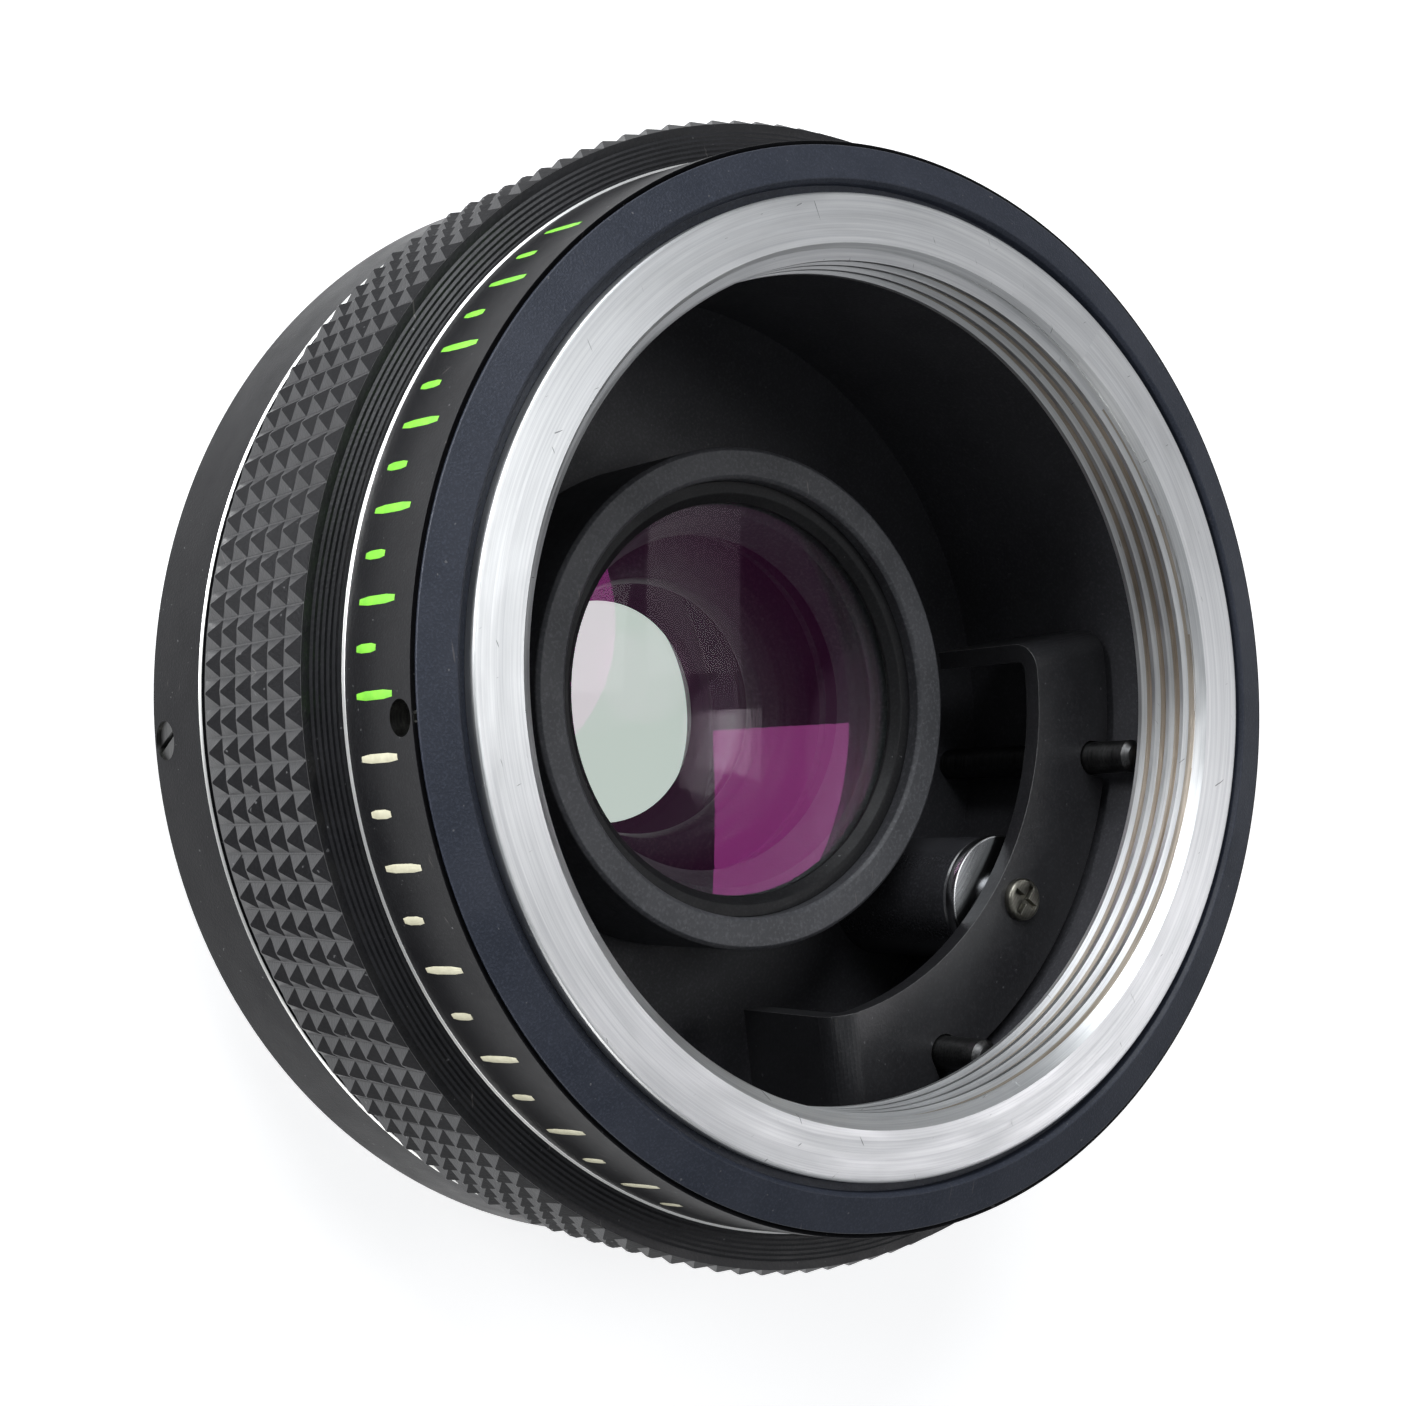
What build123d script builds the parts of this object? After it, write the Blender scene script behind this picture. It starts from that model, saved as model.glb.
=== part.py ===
"""Screw-mount tele converter: a short black barrel with a female lens-mount thread in front,
a male one behind, a fixed lens cell on the axis and a sprung aperture coupling.

The optical axis is Z. +Z points out of the front, towards the lens that the converter carries.
The origin is the centre of the circle on which the end of the rear thread rests. All sizes are
in millimetres. +Y is the side of the aperture coupling.
"""
import os
from math import cos, radians, sin, sqrt

from build123d import *

os.makedirs("parts", exist_ok=True)

# ---------------------------------------------------------------- driving dimensions

# Lens-mount thread, taken as M42 x 1, drawn as plain cylinders at the radii that its mate meets
THREAD_MAJOR_R = 21.00
THREAD_MINOR_R = 20.46

# Heights above the end of the rear thread
FLANGE_Z = 4.50  # rear flange face, so also the length of the male thread
BODY_REAR_Z = 6.00  # rear face of the black body
FLOOR_Z = 8.30  # floor of the front cavity
REAR_RING_FRONT_Z = 11.10
GRIP_REAR_Z = 11.20
KNURL_REAR_Z = 11.80  # end of the plain rim behind the knurl
KNURL_FRONT_Z = 22.05
GRIP_FRONT_Z = 22.30
SEAT_Z = 23.70  # shoulder that the front thread ring sits on
TRIM_LIP_Z = 27.56
FRONT_Z = 28.30  # face of the front thread ring

# Radii of the shells
CAVITY_R = 22.70
BODY_R = 25.00  # outside of the inner housing
TRIM_SKIRT_R = 25.60
RING_OUTER_R = 23.61  # outside of the front thread ring
TRIM_INNER_R = 24.05  # leaves a narrow dark gap round the bright ring
TRIM_OUTER_R = 25.98
NAME_FRONT_R = 26.20
NAME_REAR_R = 26.62
GRIP_ROOT_R = 28.25
GRIP_TIP_R = 28.90  # envelope of the knurl
REAR_RING_FRONT_R = 28.36
REAR_RING_R = 28.82
MOUNT_BORE_R = 19.75

# Lens cell
CELL_R = 13.20
CELL_FACE_Z = 16.20
CELL_MOUTH_R = 11.50
CELL_SPIGOT_R = 12.40
CELL_TAIL_R = 10.60
CELL_REAR_Z = 1.20
LOCK_RING_R = 15.20
LOCK_RING_Z = 4.40

# Lenses: rim radius, front vertex z, rear vertex z, front curve radius, rear curve radius.
# A curve radius is positive where the surface bulges out of the glass and negative where it is
# hollow.
FRONT_RIM_R = 11.00
REAR_RIM_R = 7.60
LENS_1 = (FRONT_RIM_R, 14.94, 13.01, 150.0, 117.0)
LENS_2 = (FRONT_RIM_R, 12.71, 11.11, 20.3, -18.2)
LENS_3 = (FRONT_RIM_R, 10.19, 8.52, 17.8, -18.6)
LENS_4 = (REAR_RIM_R, 4.54, 3.29, -41.5, -26.9)

RIM_LAND = 0.40  # width of the seat that carries a rim

# Clear radii of the rings between the lenses
FRONT_CLEAR_R = 10.40
SPACER_1_R = 8.75
SPACER_2_R = 8.60
WEB_R = 5.90
REAR_CLEAR_R = 5.50

# Aperture coupling: the pin stands at PIN_R on the +Y side, between two guide posts
PIN_R = 18.50
PIN_ROD_R = 1.00
PIN_HEAD_R = 3.50
PIN_HEAD_REAR_Z = 18.00
PIN_HEAD_T = 0.70
PIN_BOSS_R = 1.60  # carries the plate in front of the head
PIN_TIP_Z = 0.25
PIN_TIP_FILLET = 0.60
RUNNING_GAP = 0.06  # radial clearance of a sliding shaft
PLATE_FRONT_Z = 20.20
PLATE_T = 1.00
PLATE_INNER_R = 16.70
PLATE_OUTER_R = 22.00
PLATE_HALF_ANGLE = 47.2
PLATE_FOOT_Z = 12.30  # lower edge of the bent ends
PLATE_BEND_R = 1.50
POST_RING_R = 21.00
POST_ANGLE = 27.5  # degrees to each side of the pin
POST_R = 0.90
POST_TOP_Z = 23.50
POST_CHAMFER = 0.30
POST_NOTCH_R = 0.98
SLEEVE_R = 3.40
SLEEVE_SPIGOT_R = 2.40
SLEEVE_BORE_R = 1.90
SLEEVE_CAP_T = 0.90
CLIP_Z = 9.60
CLIP_T = 0.40
CLIP_R = 1.80
CLIP_GROOVE_R = 0.75
SPRING_MEAN_R = 1.50
SPRING_WIRE_R = 0.16
SPRING_TURNS = 7

# Fasteners
GRUB_ANGLE = -49.3  # degrees from +X to the first grub screw of each ring
GRUB_COUNT = 3
FRONT_GRUB_R = 0.80
FRONT_GRUB_Z = 26.70
FRONT_GRUB_OUTER_R = 25.30  # the front grub screws end deep in their holes
REAR_GRUB_R = 0.95
REAR_GRUB_Z = 7.30
REAR_GRUB_INNER_R = 24.40
REAR_GRUB_OUTER_R = 28.60
GRUB_SLOT_W = 0.30
GRUB_SLOT_DEPTH = 0.45
REAR_GRUB_SLOT_TURN = 25
MOUNT_SCREW_RING_R = 23.00
MOUNT_SCREW_COUNT = 4
MOUNT_SCREW_R = 0.80
MOUNT_SCREW_HEAD_R = 1.45
MOUNT_SCREW_TOP_Z = 7.90
PLATE_SCREW_HEAD_R = 1.15
PLATE_SCREW_HEAD_T = 0.45
PLATE_SCREW_R = 0.70
PLATE_SCREW_GAP = 0.50  # between the end of the screw and the end of its hole
CROSS_W = 0.32
CROSS_DEPTH = 0.35
TAP_DEPTH = 3.00

EDGE_BREAK = 0.20  # chamfer on turned edges
LIP_GAP = 0.10  # the lip of the trim ring stands this far in front of the name ring
KNURL_REAR_SLOPE = 0.30  # axial length of the slopes at both ends of the knurl
KNURL_FRONT_SLOPE = 0.25
CUT_MARGIN = 0.50  # cuts start and end this far outside the metal
RADIAL_CUT = 5.00  # long enough to leave any of the rings
PIN_FRONT_Z = PLATE_FRONT_Z - PLATE_T
SLEEVE_TOP_Z = PIN_HEAD_REAR_Z - 0.10
MOUNT_HEAD_DEPTH = MOUNT_SCREW_HEAD_R - MOUNT_SCREW_R  # a 90 degree countersink


# ---------------------------------------------------------------- helpers

def radial_planes(z, start_r):
    """Planes for the grub screws of one ring, facing outwards, at a distance from the axis."""
    planes = []
    for number in range(GRUB_COUNT):
        angle = radians(GRUB_ANGLE + number * 360 / GRUB_COUNT)
        outward = Vector(cos(angle), sin(angle), 0)
        planes.append(Plane(origin=outward * start_r + Vector(0, 0, z), x_dir=(0, 0, 1), z_dir=outward))
    return planes


def surface_z(vertex_z, curve_r, radius, facing):
    """Height of a lens surface at a distance from the axis; facing is 1 in front, -1 behind."""
    depth = abs(curve_r) - sqrt(curve_r**2 - radius**2)
    return vertex_z - facing * depth if curve_r > 0 else vertex_z + facing * depth


def lens_rims(lens):
    """Heights of the front and rear rims of a lens."""
    rim_r, front_z, rear_z, front_curve, rear_curve = lens
    return surface_z(front_z, front_curve, rim_r, 1), surface_z(rear_z, rear_curve, rim_r, -1)


def save(name, part):
    """Label a finished piece and write it to its own STEP file."""
    part.label = name
    export_step(part, f"parts/{name}.step")


# ---------------------------------------------------------------- outer shells

# Bright ring with the bore of the female thread and a chamfered mouth.
MOUTH_CHAMFER = 0.70
with BuildPart() as front_thread_ring:
    with BuildSketch(Plane.XZ):
        with BuildLine():
            Polyline(
                (THREAD_MINOR_R, SEAT_Z),
                (RING_OUTER_R, SEAT_Z),
                (RING_OUTER_R, FRONT_Z - EDGE_BREAK),
                (RING_OUTER_R - EDGE_BREAK, FRONT_Z),
                (THREAD_MINOR_R + MOUTH_CHAMFER, FRONT_Z),
                (THREAD_MINOR_R, FRONT_Z - MOUTH_CHAMFER),
                close=True,
            )
        make_face()
    revolve(axis=Axis.Z)
save("front_thread_ring", front_thread_ring.part)

# Black ring round it: a shallow cone in front and a skirt that the name ring slides over.
GAP_FLOOR_Z = FRONT_Z - 0.70  # above the grub screw holes, so that they don't open into the gap
TRIM_DROP = 0.10  # the ring stands this far behind the bright one
with BuildPart() as front_trim_ring:
    with BuildSketch(Plane.XZ):
        with BuildLine():
            Polyline(
                (RING_OUTER_R, SEAT_Z),
                (TRIM_SKIRT_R, SEAT_Z),
                (TRIM_SKIRT_R, TRIM_LIP_Z),
                (TRIM_OUTER_R - EDGE_BREAK, TRIM_LIP_Z),
                (TRIM_OUTER_R, TRIM_LIP_Z + EDGE_BREAK),
                (TRIM_INNER_R + EDGE_BREAK, FRONT_Z - TRIM_DROP),
                (TRIM_INNER_R, FRONT_Z - TRIM_DROP - EDGE_BREAK),
                (TRIM_INNER_R, GAP_FLOOR_Z),
                (RING_OUTER_R, GAP_FLOOR_Z),
                close=True,
            )
        make_face()
    revolve(axis=Axis.Z)
    with BuildSketch(*radial_planes(FRONT_GRUB_Z, RING_OUTER_R - CUT_MARGIN)):
        Circle(FRONT_GRUB_R)
    extrude(amount=RADIAL_CUT, mode=Mode.SUBTRACT)
save("front_trim_ring", front_trim_ring.part)

# Slightly conical sleeve behind the trim ring.
NAME_EDGE_RISE = 0.06  # its outer edge rises past the lip of the trim ring
with BuildPart() as name_ring:
    with BuildSketch(Plane.XZ):
        with BuildLine():
            Polyline(
                (BODY_R, GRIP_FRONT_Z),
                (NAME_REAR_R, GRIP_FRONT_Z),
                (NAME_FRONT_R, TRIM_LIP_Z + NAME_EDGE_RISE),
                (NAME_FRONT_R - EDGE_BREAK, TRIM_LIP_Z - LIP_GAP),
                (TRIM_SKIRT_R, TRIM_LIP_Z - LIP_GAP),
                (TRIM_SKIRT_R, SEAT_Z),
                (BODY_R, SEAT_Z),
                close=True,
            )
        make_face()
    revolve(axis=Axis.Z)
    with BuildSketch(*radial_planes(FRONT_GRUB_Z, TRIM_SKIRT_R - CUT_MARGIN)):
        Circle(FRONT_GRUB_R)
    extrude(amount=RADIAL_CUT, mode=Mode.SUBTRACT)
save("name_ring", name_ring.part)

# Grip ring: the envelope of the knurl, with a plain rim at the rear and a sloping front face.
with BuildPart() as grip_ring:
    with BuildSketch(Plane.XZ):
        with BuildLine():
            Polyline(
                (BODY_R, GRIP_REAR_Z),
                (GRIP_ROOT_R - EDGE_BREAK, GRIP_REAR_Z),
                (GRIP_ROOT_R, GRIP_REAR_Z + EDGE_BREAK),
                (GRIP_ROOT_R, KNURL_REAR_Z),
                (GRIP_TIP_R, KNURL_REAR_Z + KNURL_REAR_SLOPE),
                (GRIP_TIP_R, KNURL_FRONT_Z - KNURL_FRONT_SLOPE),
                (GRIP_ROOT_R, KNURL_FRONT_Z),
                (NAME_REAR_R, GRIP_FRONT_Z),
                (BODY_R, GRIP_FRONT_Z),
                close=True,
            )
        make_face()
    revolve(axis=Axis.Z)
save("grip_ring", grip_ring.part)

# Rear ring: widens slightly to the rear.
with BuildPart() as rear_ring:
    with BuildSketch(Plane.XZ):
        with BuildLine():
            Polyline(
                (BODY_R, BODY_REAR_Z),
                (REAR_RING_R - EDGE_BREAK, BODY_REAR_Z),
                (REAR_RING_R, BODY_REAR_Z + EDGE_BREAK),
                (REAR_RING_FRONT_R, REAR_RING_FRONT_Z - EDGE_BREAK),
                (REAR_RING_FRONT_R - EDGE_BREAK, REAR_RING_FRONT_Z),
                (BODY_R, REAR_RING_FRONT_Z),
                close=True,
            )
        make_face()
    revolve(axis=Axis.Z)
    with BuildSketch(*radial_planes(REAR_GRUB_Z, BODY_R - CUT_MARGIN)):
        Circle(REAR_GRUB_R)
    extrude(amount=RADIAL_CUT, mode=Mode.SUBTRACT)
save("rear_ring", rear_ring.part)

# ---------------------------------------------------------------- inner housing and rear mount

SLEEVE_FOOT_Z = BODY_REAR_Z + 0.60
POST_FOOT_Z = BODY_REAR_Z + 0.80
POST_LOCATIONS = PolarLocations(
    POST_RING_R, 2, start_angle=90 - POST_ANGLE, angular_range=2 * POST_ANGLE, endpoint=True
)
MOUNT_SCREW_LOCATIONS = PolarLocations(MOUNT_SCREW_RING_R, MOUNT_SCREW_COUNT, start_angle=45)

# Black cup: the wall carries the outer rings, the floor carries the cell, posts and sleeve.
with BuildPart() as inner_housing:
    with BuildSketch(Plane.XZ):
        with BuildLine():
            Polyline(
                (CELL_SPIGOT_R, BODY_REAR_Z),
                (BODY_R, BODY_REAR_Z),
                (BODY_R, SEAT_Z),
                (CAVITY_R, SEAT_Z),
                (CAVITY_R, FLOOR_Z),
                (CELL_SPIGOT_R, FLOOR_Z),
                close=True,
            )
        make_face()
    revolve(axis=Axis.Z)
    with BuildSketch(Plane.XY.offset(BODY_REAR_Z)):
        with Locations((0, PIN_R)):
            Circle(PIN_ROD_R + RUNNING_GAP)
    extrude(amount=FLOOR_Z - BODY_REAR_Z, mode=Mode.SUBTRACT)
    with BuildSketch(Plane.XY.offset(SLEEVE_FOOT_Z)):
        with Locations((0, PIN_R)):
            Circle(SLEEVE_SPIGOT_R)
    extrude(amount=FLOOR_Z - SLEEVE_FOOT_Z, mode=Mode.SUBTRACT)
    with BuildSketch(Plane.XY.offset(POST_FOOT_Z)):
        with POST_LOCATIONS:
            Circle(POST_R)
    extrude(amount=FLOOR_Z - POST_FOOT_Z, mode=Mode.SUBTRACT)
    with BuildSketch(Plane.XY.offset(BODY_REAR_Z)):
        with MOUNT_SCREW_LOCATIONS:
            Circle(MOUNT_SCREW_R)
    extrude(amount=MOUNT_SCREW_TOP_Z - BODY_REAR_Z, mode=Mode.SUBTRACT)
    with BuildSketch(*radial_planes(REAR_GRUB_Z, REAR_GRUB_INNER_R)):
        Circle(REAR_GRUB_R)
    extrude(amount=RADIAL_CUT, mode=Mode.SUBTRACT)
save("inner_housing", inner_housing.part)

# Rear mount: a flange with the cylinder of the male thread. The thread meets the flange at full
# radius, so that nothing overhangs the face that the mating mount lies on.
THREAD_LEAD = 0.40
with BuildPart() as rear_mount_ring:
    with BuildSketch(Plane.XZ):
        with BuildLine():
            Polyline(
                (MOUNT_BORE_R, 0),
                (THREAD_MAJOR_R - THREAD_LEAD, 0),
                (THREAD_MAJOR_R, THREAD_LEAD),
                (THREAD_MAJOR_R, FLANGE_Z),
                (BODY_R - EDGE_BREAK, FLANGE_Z),
                (BODY_R, FLANGE_Z + EDGE_BREAK),
                (BODY_R, BODY_REAR_Z),
                (MOUNT_BORE_R, BODY_REAR_Z),
                close=True,
            )
        make_face()
    revolve(axis=Axis.Z)
    with BuildSketch(Plane.XY.offset(FLANGE_Z)):
        with MOUNT_SCREW_LOCATIONS:
            Circle(MOUNT_SCREW_HEAD_R)
    extrude(amount=MOUNT_HEAD_DEPTH, taper=45, mode=Mode.SUBTRACT)
    with BuildSketch(Plane.XY.offset(FLANGE_Z)):
        with MOUNT_SCREW_LOCATIONS:
            Circle(MOUNT_SCREW_R)
    extrude(amount=BODY_REAR_Z - FLANGE_Z, mode=Mode.SUBTRACT)
save("rear_mount_ring", rear_mount_ring.part)

# Countersunk cross-head screws, flush with the flange.
with BuildPart() as rear_mount_screws:
    with BuildSketch(Plane.XY.offset(FLANGE_Z)):
        with MOUNT_SCREW_LOCATIONS:
            Circle(MOUNT_SCREW_HEAD_R)
    extrude(amount=MOUNT_HEAD_DEPTH, taper=45)
    with BuildSketch(Plane.XY.offset(FLANGE_Z + MOUNT_HEAD_DEPTH / 2)):
        with MOUNT_SCREW_LOCATIONS:
            Circle(MOUNT_SCREW_R)
    extrude(amount=MOUNT_SCREW_TOP_Z - FLANGE_Z - MOUNT_HEAD_DEPTH / 2)
    with BuildSketch(Plane.XY.offset(FLANGE_Z)):
        with MOUNT_SCREW_LOCATIONS:
            Rectangle(2 * MOUNT_SCREW_R, CROSS_W)
            Rectangle(CROSS_W, 2 * MOUNT_SCREW_R)
    extrude(amount=CROSS_DEPTH, mode=Mode.SUBTRACT)
save("rear_mount_screws", rear_mount_screws.part)

# Grub screws with a slot across the outer end.
with BuildPart() as front_grub_screws:
    with BuildSketch(*radial_planes(FRONT_GRUB_Z, RING_OUTER_R)):
        Circle(FRONT_GRUB_R)
    extrude(amount=FRONT_GRUB_OUTER_R - RING_OUTER_R)
    with BuildSketch(*radial_planes(FRONT_GRUB_Z, FRONT_GRUB_OUTER_R - GRUB_SLOT_DEPTH)):
        Rectangle(3 * FRONT_GRUB_R, GRUB_SLOT_W)
    extrude(amount=GRUB_SLOT_DEPTH + CUT_MARGIN, mode=Mode.SUBTRACT)
save("front_grub_screws", front_grub_screws.part)

with BuildPart() as rear_grub_screws:
    with BuildSketch(*radial_planes(REAR_GRUB_Z, REAR_GRUB_INNER_R)):
        Circle(REAR_GRUB_R)
    extrude(amount=REAR_GRUB_OUTER_R - REAR_GRUB_INNER_R)
    with BuildSketch(*radial_planes(REAR_GRUB_Z, REAR_GRUB_OUTER_R - GRUB_SLOT_DEPTH)):
        Rectangle(3 * REAR_GRUB_R, GRUB_SLOT_W, rotation=REAR_GRUB_SLOT_TURN)
    extrude(amount=GRUB_SLOT_DEPTH + CUT_MARGIN, mode=Mode.SUBTRACT)
save("rear_grub_screws", rear_grub_screws.part)

# ---------------------------------------------------------------- lens cell and lenses

rim_1_front, rim_1_rear = lens_rims(LENS_1)
rim_2_front, rim_2_rear = lens_rims(LENS_2)
rim_3_front, rim_3_rear = lens_rims(LENS_3)
rim_4_front, rim_4_rear = lens_rims(LENS_4)

# Barrel of the optics: lenses 1 to 3 load from the front on to a shoulder, lens 4 loads from
# behind against a thin web. The tail behind the lock ring is stepped and slightly conical.
WEB_TOP_Z = rim_4_front + 0.70
WEB_FLARE = 0.30
TAIL_TAPER = 0.60
CELL_THREAD_END_Z = LOCK_RING_Z - 0.50
TAIL_Z = LOCK_RING_Z - 1.20
with BuildPart() as lens_cell:
    with BuildSketch(Plane.XZ):
        with BuildLine():
            Polyline(
                (FRONT_RIM_R, rim_1_front),
                (CELL_MOUTH_R, rim_1_front),
                (CELL_MOUTH_R, CELL_FACE_Z - EDGE_BREAK),
                (CELL_MOUTH_R + EDGE_BREAK, CELL_FACE_Z),
                (CELL_R - EDGE_BREAK, CELL_FACE_Z),
                (CELL_R, CELL_FACE_Z - EDGE_BREAK),
                (CELL_R, FLOOR_Z),
                (CELL_SPIGOT_R, FLOOR_Z),
                (CELL_SPIGOT_R, CELL_THREAD_END_Z),
                (CELL_TAIL_R, TAIL_Z),
                (CELL_TAIL_R - TAIL_TAPER, CELL_REAR_Z),
                (REAR_RIM_R, CELL_REAR_Z),
                (REAR_RIM_R, rim_4_front),
                (WEB_R, rim_4_front),
                (WEB_R + WEB_FLARE, WEB_TOP_Z),
                (SPACER_1_R, WEB_TOP_Z),
                (FRONT_RIM_R - RIM_LAND, rim_3_rear),
                (FRONT_RIM_R, rim_3_rear),
                close=True,
            )
        make_face()
    revolve(axis=Axis.Z)
save("lens_cell", lens_cell.part)

# Each lens is a disc with spherical faces.
LENSES = {"lens_1": LENS_1, "lens_2": LENS_2, "lens_3": LENS_3, "lens_4": LENS_4}
for lens_name, lens_data in LENSES.items():
    rim_r, front_z, rear_z, front_curve, rear_curve = lens_data
    rim_front, rim_rear = lens_rims(lens_data)
    with BuildPart() as lens:
        with BuildSketch(Plane.XZ):
            with BuildLine():
                ThreePointArc(
                    (0, front_z),
                    (rim_r / 2, surface_z(front_z, front_curve, rim_r / 2, 1)),
                    (rim_r, rim_front),
                )
                Line((rim_r, rim_front), (rim_r, rim_rear))
                ThreePointArc(
                    (rim_r, rim_rear),
                    (rim_r / 2, surface_z(rear_z, rear_curve, rim_r / 2, -1)),
                    (0, rear_z),
                )
                Line((0, rear_z), (0, front_z))
            make_face()
        revolve(axis=Axis.Z)
    save(lens_name, lens.part)

# Spacers: each touches its two lenses at their rims only and leans clear of their faces. The
# inner corners stand inside, above or below the rims by these amounts.
SPACER_1_LEAN = 0.50
SPACER_1_RISE = 1.63
SPACER_1_DROP = 0.43
SPACER_2_REAR_RISE = 1.97
SPACER_2_FRONT_RISE = 1.35
with BuildPart() as spacer_ring_1:
    with BuildSketch(Plane.XZ):
        with BuildLine():
            Polyline(
                (FRONT_RIM_R, rim_1_rear),
                (FRONT_RIM_R, rim_2_front),
                (SPACER_1_R, rim_2_front + SPACER_1_RISE),
                (FRONT_CLEAR_R - SPACER_1_LEAN, rim_1_rear - SPACER_1_DROP),
                close=True,
            )
        make_face()
    revolve(axis=Axis.Z)
save("spacer_ring_1", spacer_ring_1.part)

with BuildPart() as spacer_ring_2:
    with BuildSketch(Plane.XZ):
        with BuildLine():
            Polyline(
                (FRONT_RIM_R, rim_2_rear),
                (FRONT_RIM_R, rim_3_front),
                (SPACER_2_R, rim_3_front + SPACER_2_REAR_RISE),
                (SPACER_2_R, rim_2_rear + SPACER_2_FRONT_RISE),
                close=True,
            )
        make_face()
    revolve(axis=Axis.Z)
save("spacer_ring_2", spacer_ring_2.part)

# Threaded rings that hold the lenses in from both ends, bevelled towards the glass.
RETAINER_T = 0.80
RETAINER_LIFT = 0.15  # keeps the front ring off the glass inside the rim
RETAINER_BEVEL_Z = 0.35
RETAINER_BEVEL_R = 0.45
with BuildPart() as front_retaining_ring:
    with BuildSketch(Plane.XZ):
        with BuildLine():
            Polyline(
                (FRONT_CLEAR_R, rim_1_front + RETAINER_LIFT),
                (FRONT_RIM_R, rim_1_front),
                (CELL_MOUTH_R, rim_1_front),
                (CELL_MOUTH_R, rim_1_front + RETAINER_T),
                (FRONT_CLEAR_R + RETAINER_BEVEL_R, rim_1_front + RETAINER_T),
                (FRONT_CLEAR_R, rim_1_front + RETAINER_BEVEL_Z),
                close=True,
            )
        make_face()
    revolve(axis=Axis.Z)
save("front_retaining_ring", front_retaining_ring.part)

with BuildPart() as rear_retaining_ring:
    with BuildSketch(Plane.XZ):
        with BuildLine():
            Polyline(
                (REAR_CLEAR_R, rim_4_rear),
                (REAR_RIM_R, rim_4_rear),
                (REAR_RIM_R, CELL_REAR_Z),
                (REAR_RIM_R - RETAINER_T, CELL_REAR_Z),
                close=True,
            )
        make_face()
    revolve(axis=Axis.Z)
save("rear_retaining_ring", rear_retaining_ring.part)

# Nut that pulls the cell against the floor of the housing, with two spanner notches.
SPANNER_NOTCH_W = 1.20
SPANNER_NOTCH_DEPTH = 0.70
with BuildPart() as cell_lock_ring:
    with BuildSketch(Plane.XY.offset(LOCK_RING_Z)):
        Circle(LOCK_RING_R)
        Circle(CELL_SPIGOT_R, mode=Mode.SUBTRACT)
    extrude(amount=BODY_REAR_Z - LOCK_RING_Z)
    with BuildSketch(Plane.XY.offset(LOCK_RING_Z)):
        with PolarLocations((LOCK_RING_R + CELL_SPIGOT_R) / 2, 2):
            Rectangle(2 * (LOCK_RING_R - CELL_SPIGOT_R), SPANNER_NOTCH_W)
    extrude(amount=SPANNER_NOTCH_DEPTH, mode=Mode.SUBTRACT)
save("cell_lock_ring", cell_lock_ring.part)

# ---------------------------------------------------------------- aperture coupling

# Two posts with chamfered tips stand in the floor and guide the plate.
for side, post_name in ((1, "guide_post_a"), (-1, "guide_post_b")):
    angle = radians(90 - side * POST_ANGLE)
    with BuildPart() as guide_post:
        with BuildSketch(Plane.XY.offset(POST_FOOT_Z)):
            with Locations((POST_RING_R * cos(angle), POST_RING_R * sin(angle))):
                Circle(POST_R)
        extrude(amount=POST_TOP_Z - POST_FOOT_Z)
        chamfer(guide_post.faces().sort_by(Axis.Z)[-1].edges(), length=POST_CHAMFER)
    save(post_name, guide_post.part)

# Sleeve round the pin: a spigot in the floor, a bore for the spring and a cap that guides the pin.
with BuildPart() as guide_sleeve:
    with BuildSketch(Plane.XY.offset(SLEEVE_FOOT_Z)):
        with Locations((0, PIN_R)):
            Circle(SLEEVE_SPIGOT_R)
    extrude(amount=FLOOR_Z - SLEEVE_FOOT_Z)
    with BuildSketch(Plane.XY.offset(FLOOR_Z)):
        with Locations((0, PIN_R)):
            Circle(SLEEVE_R)
    extrude(amount=SLEEVE_TOP_Z - FLOOR_Z)
    chamfer(guide_sleeve.faces().sort_by(Axis.Z)[-1].edges(), length=EDGE_BREAK)
    with BuildSketch(Plane.XY.offset(SLEEVE_FOOT_Z)):
        with Locations((0, PIN_R)):
            Circle(SLEEVE_BORE_R)
    extrude(amount=SLEEVE_TOP_Z - SLEEVE_CAP_T - SLEEVE_FOOT_Z, mode=Mode.SUBTRACT)
    with BuildSketch(Plane.XY.offset(SLEEVE_FOOT_Z)):
        with Locations((0, PIN_R)):
            Circle(PIN_ROD_R + RUNNING_GAP)
    extrude(amount=SLEEVE_TOP_Z - SLEEVE_FOOT_Z, mode=Mode.SUBTRACT)
save("guide_sleeve", guide_sleeve.part)

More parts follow.
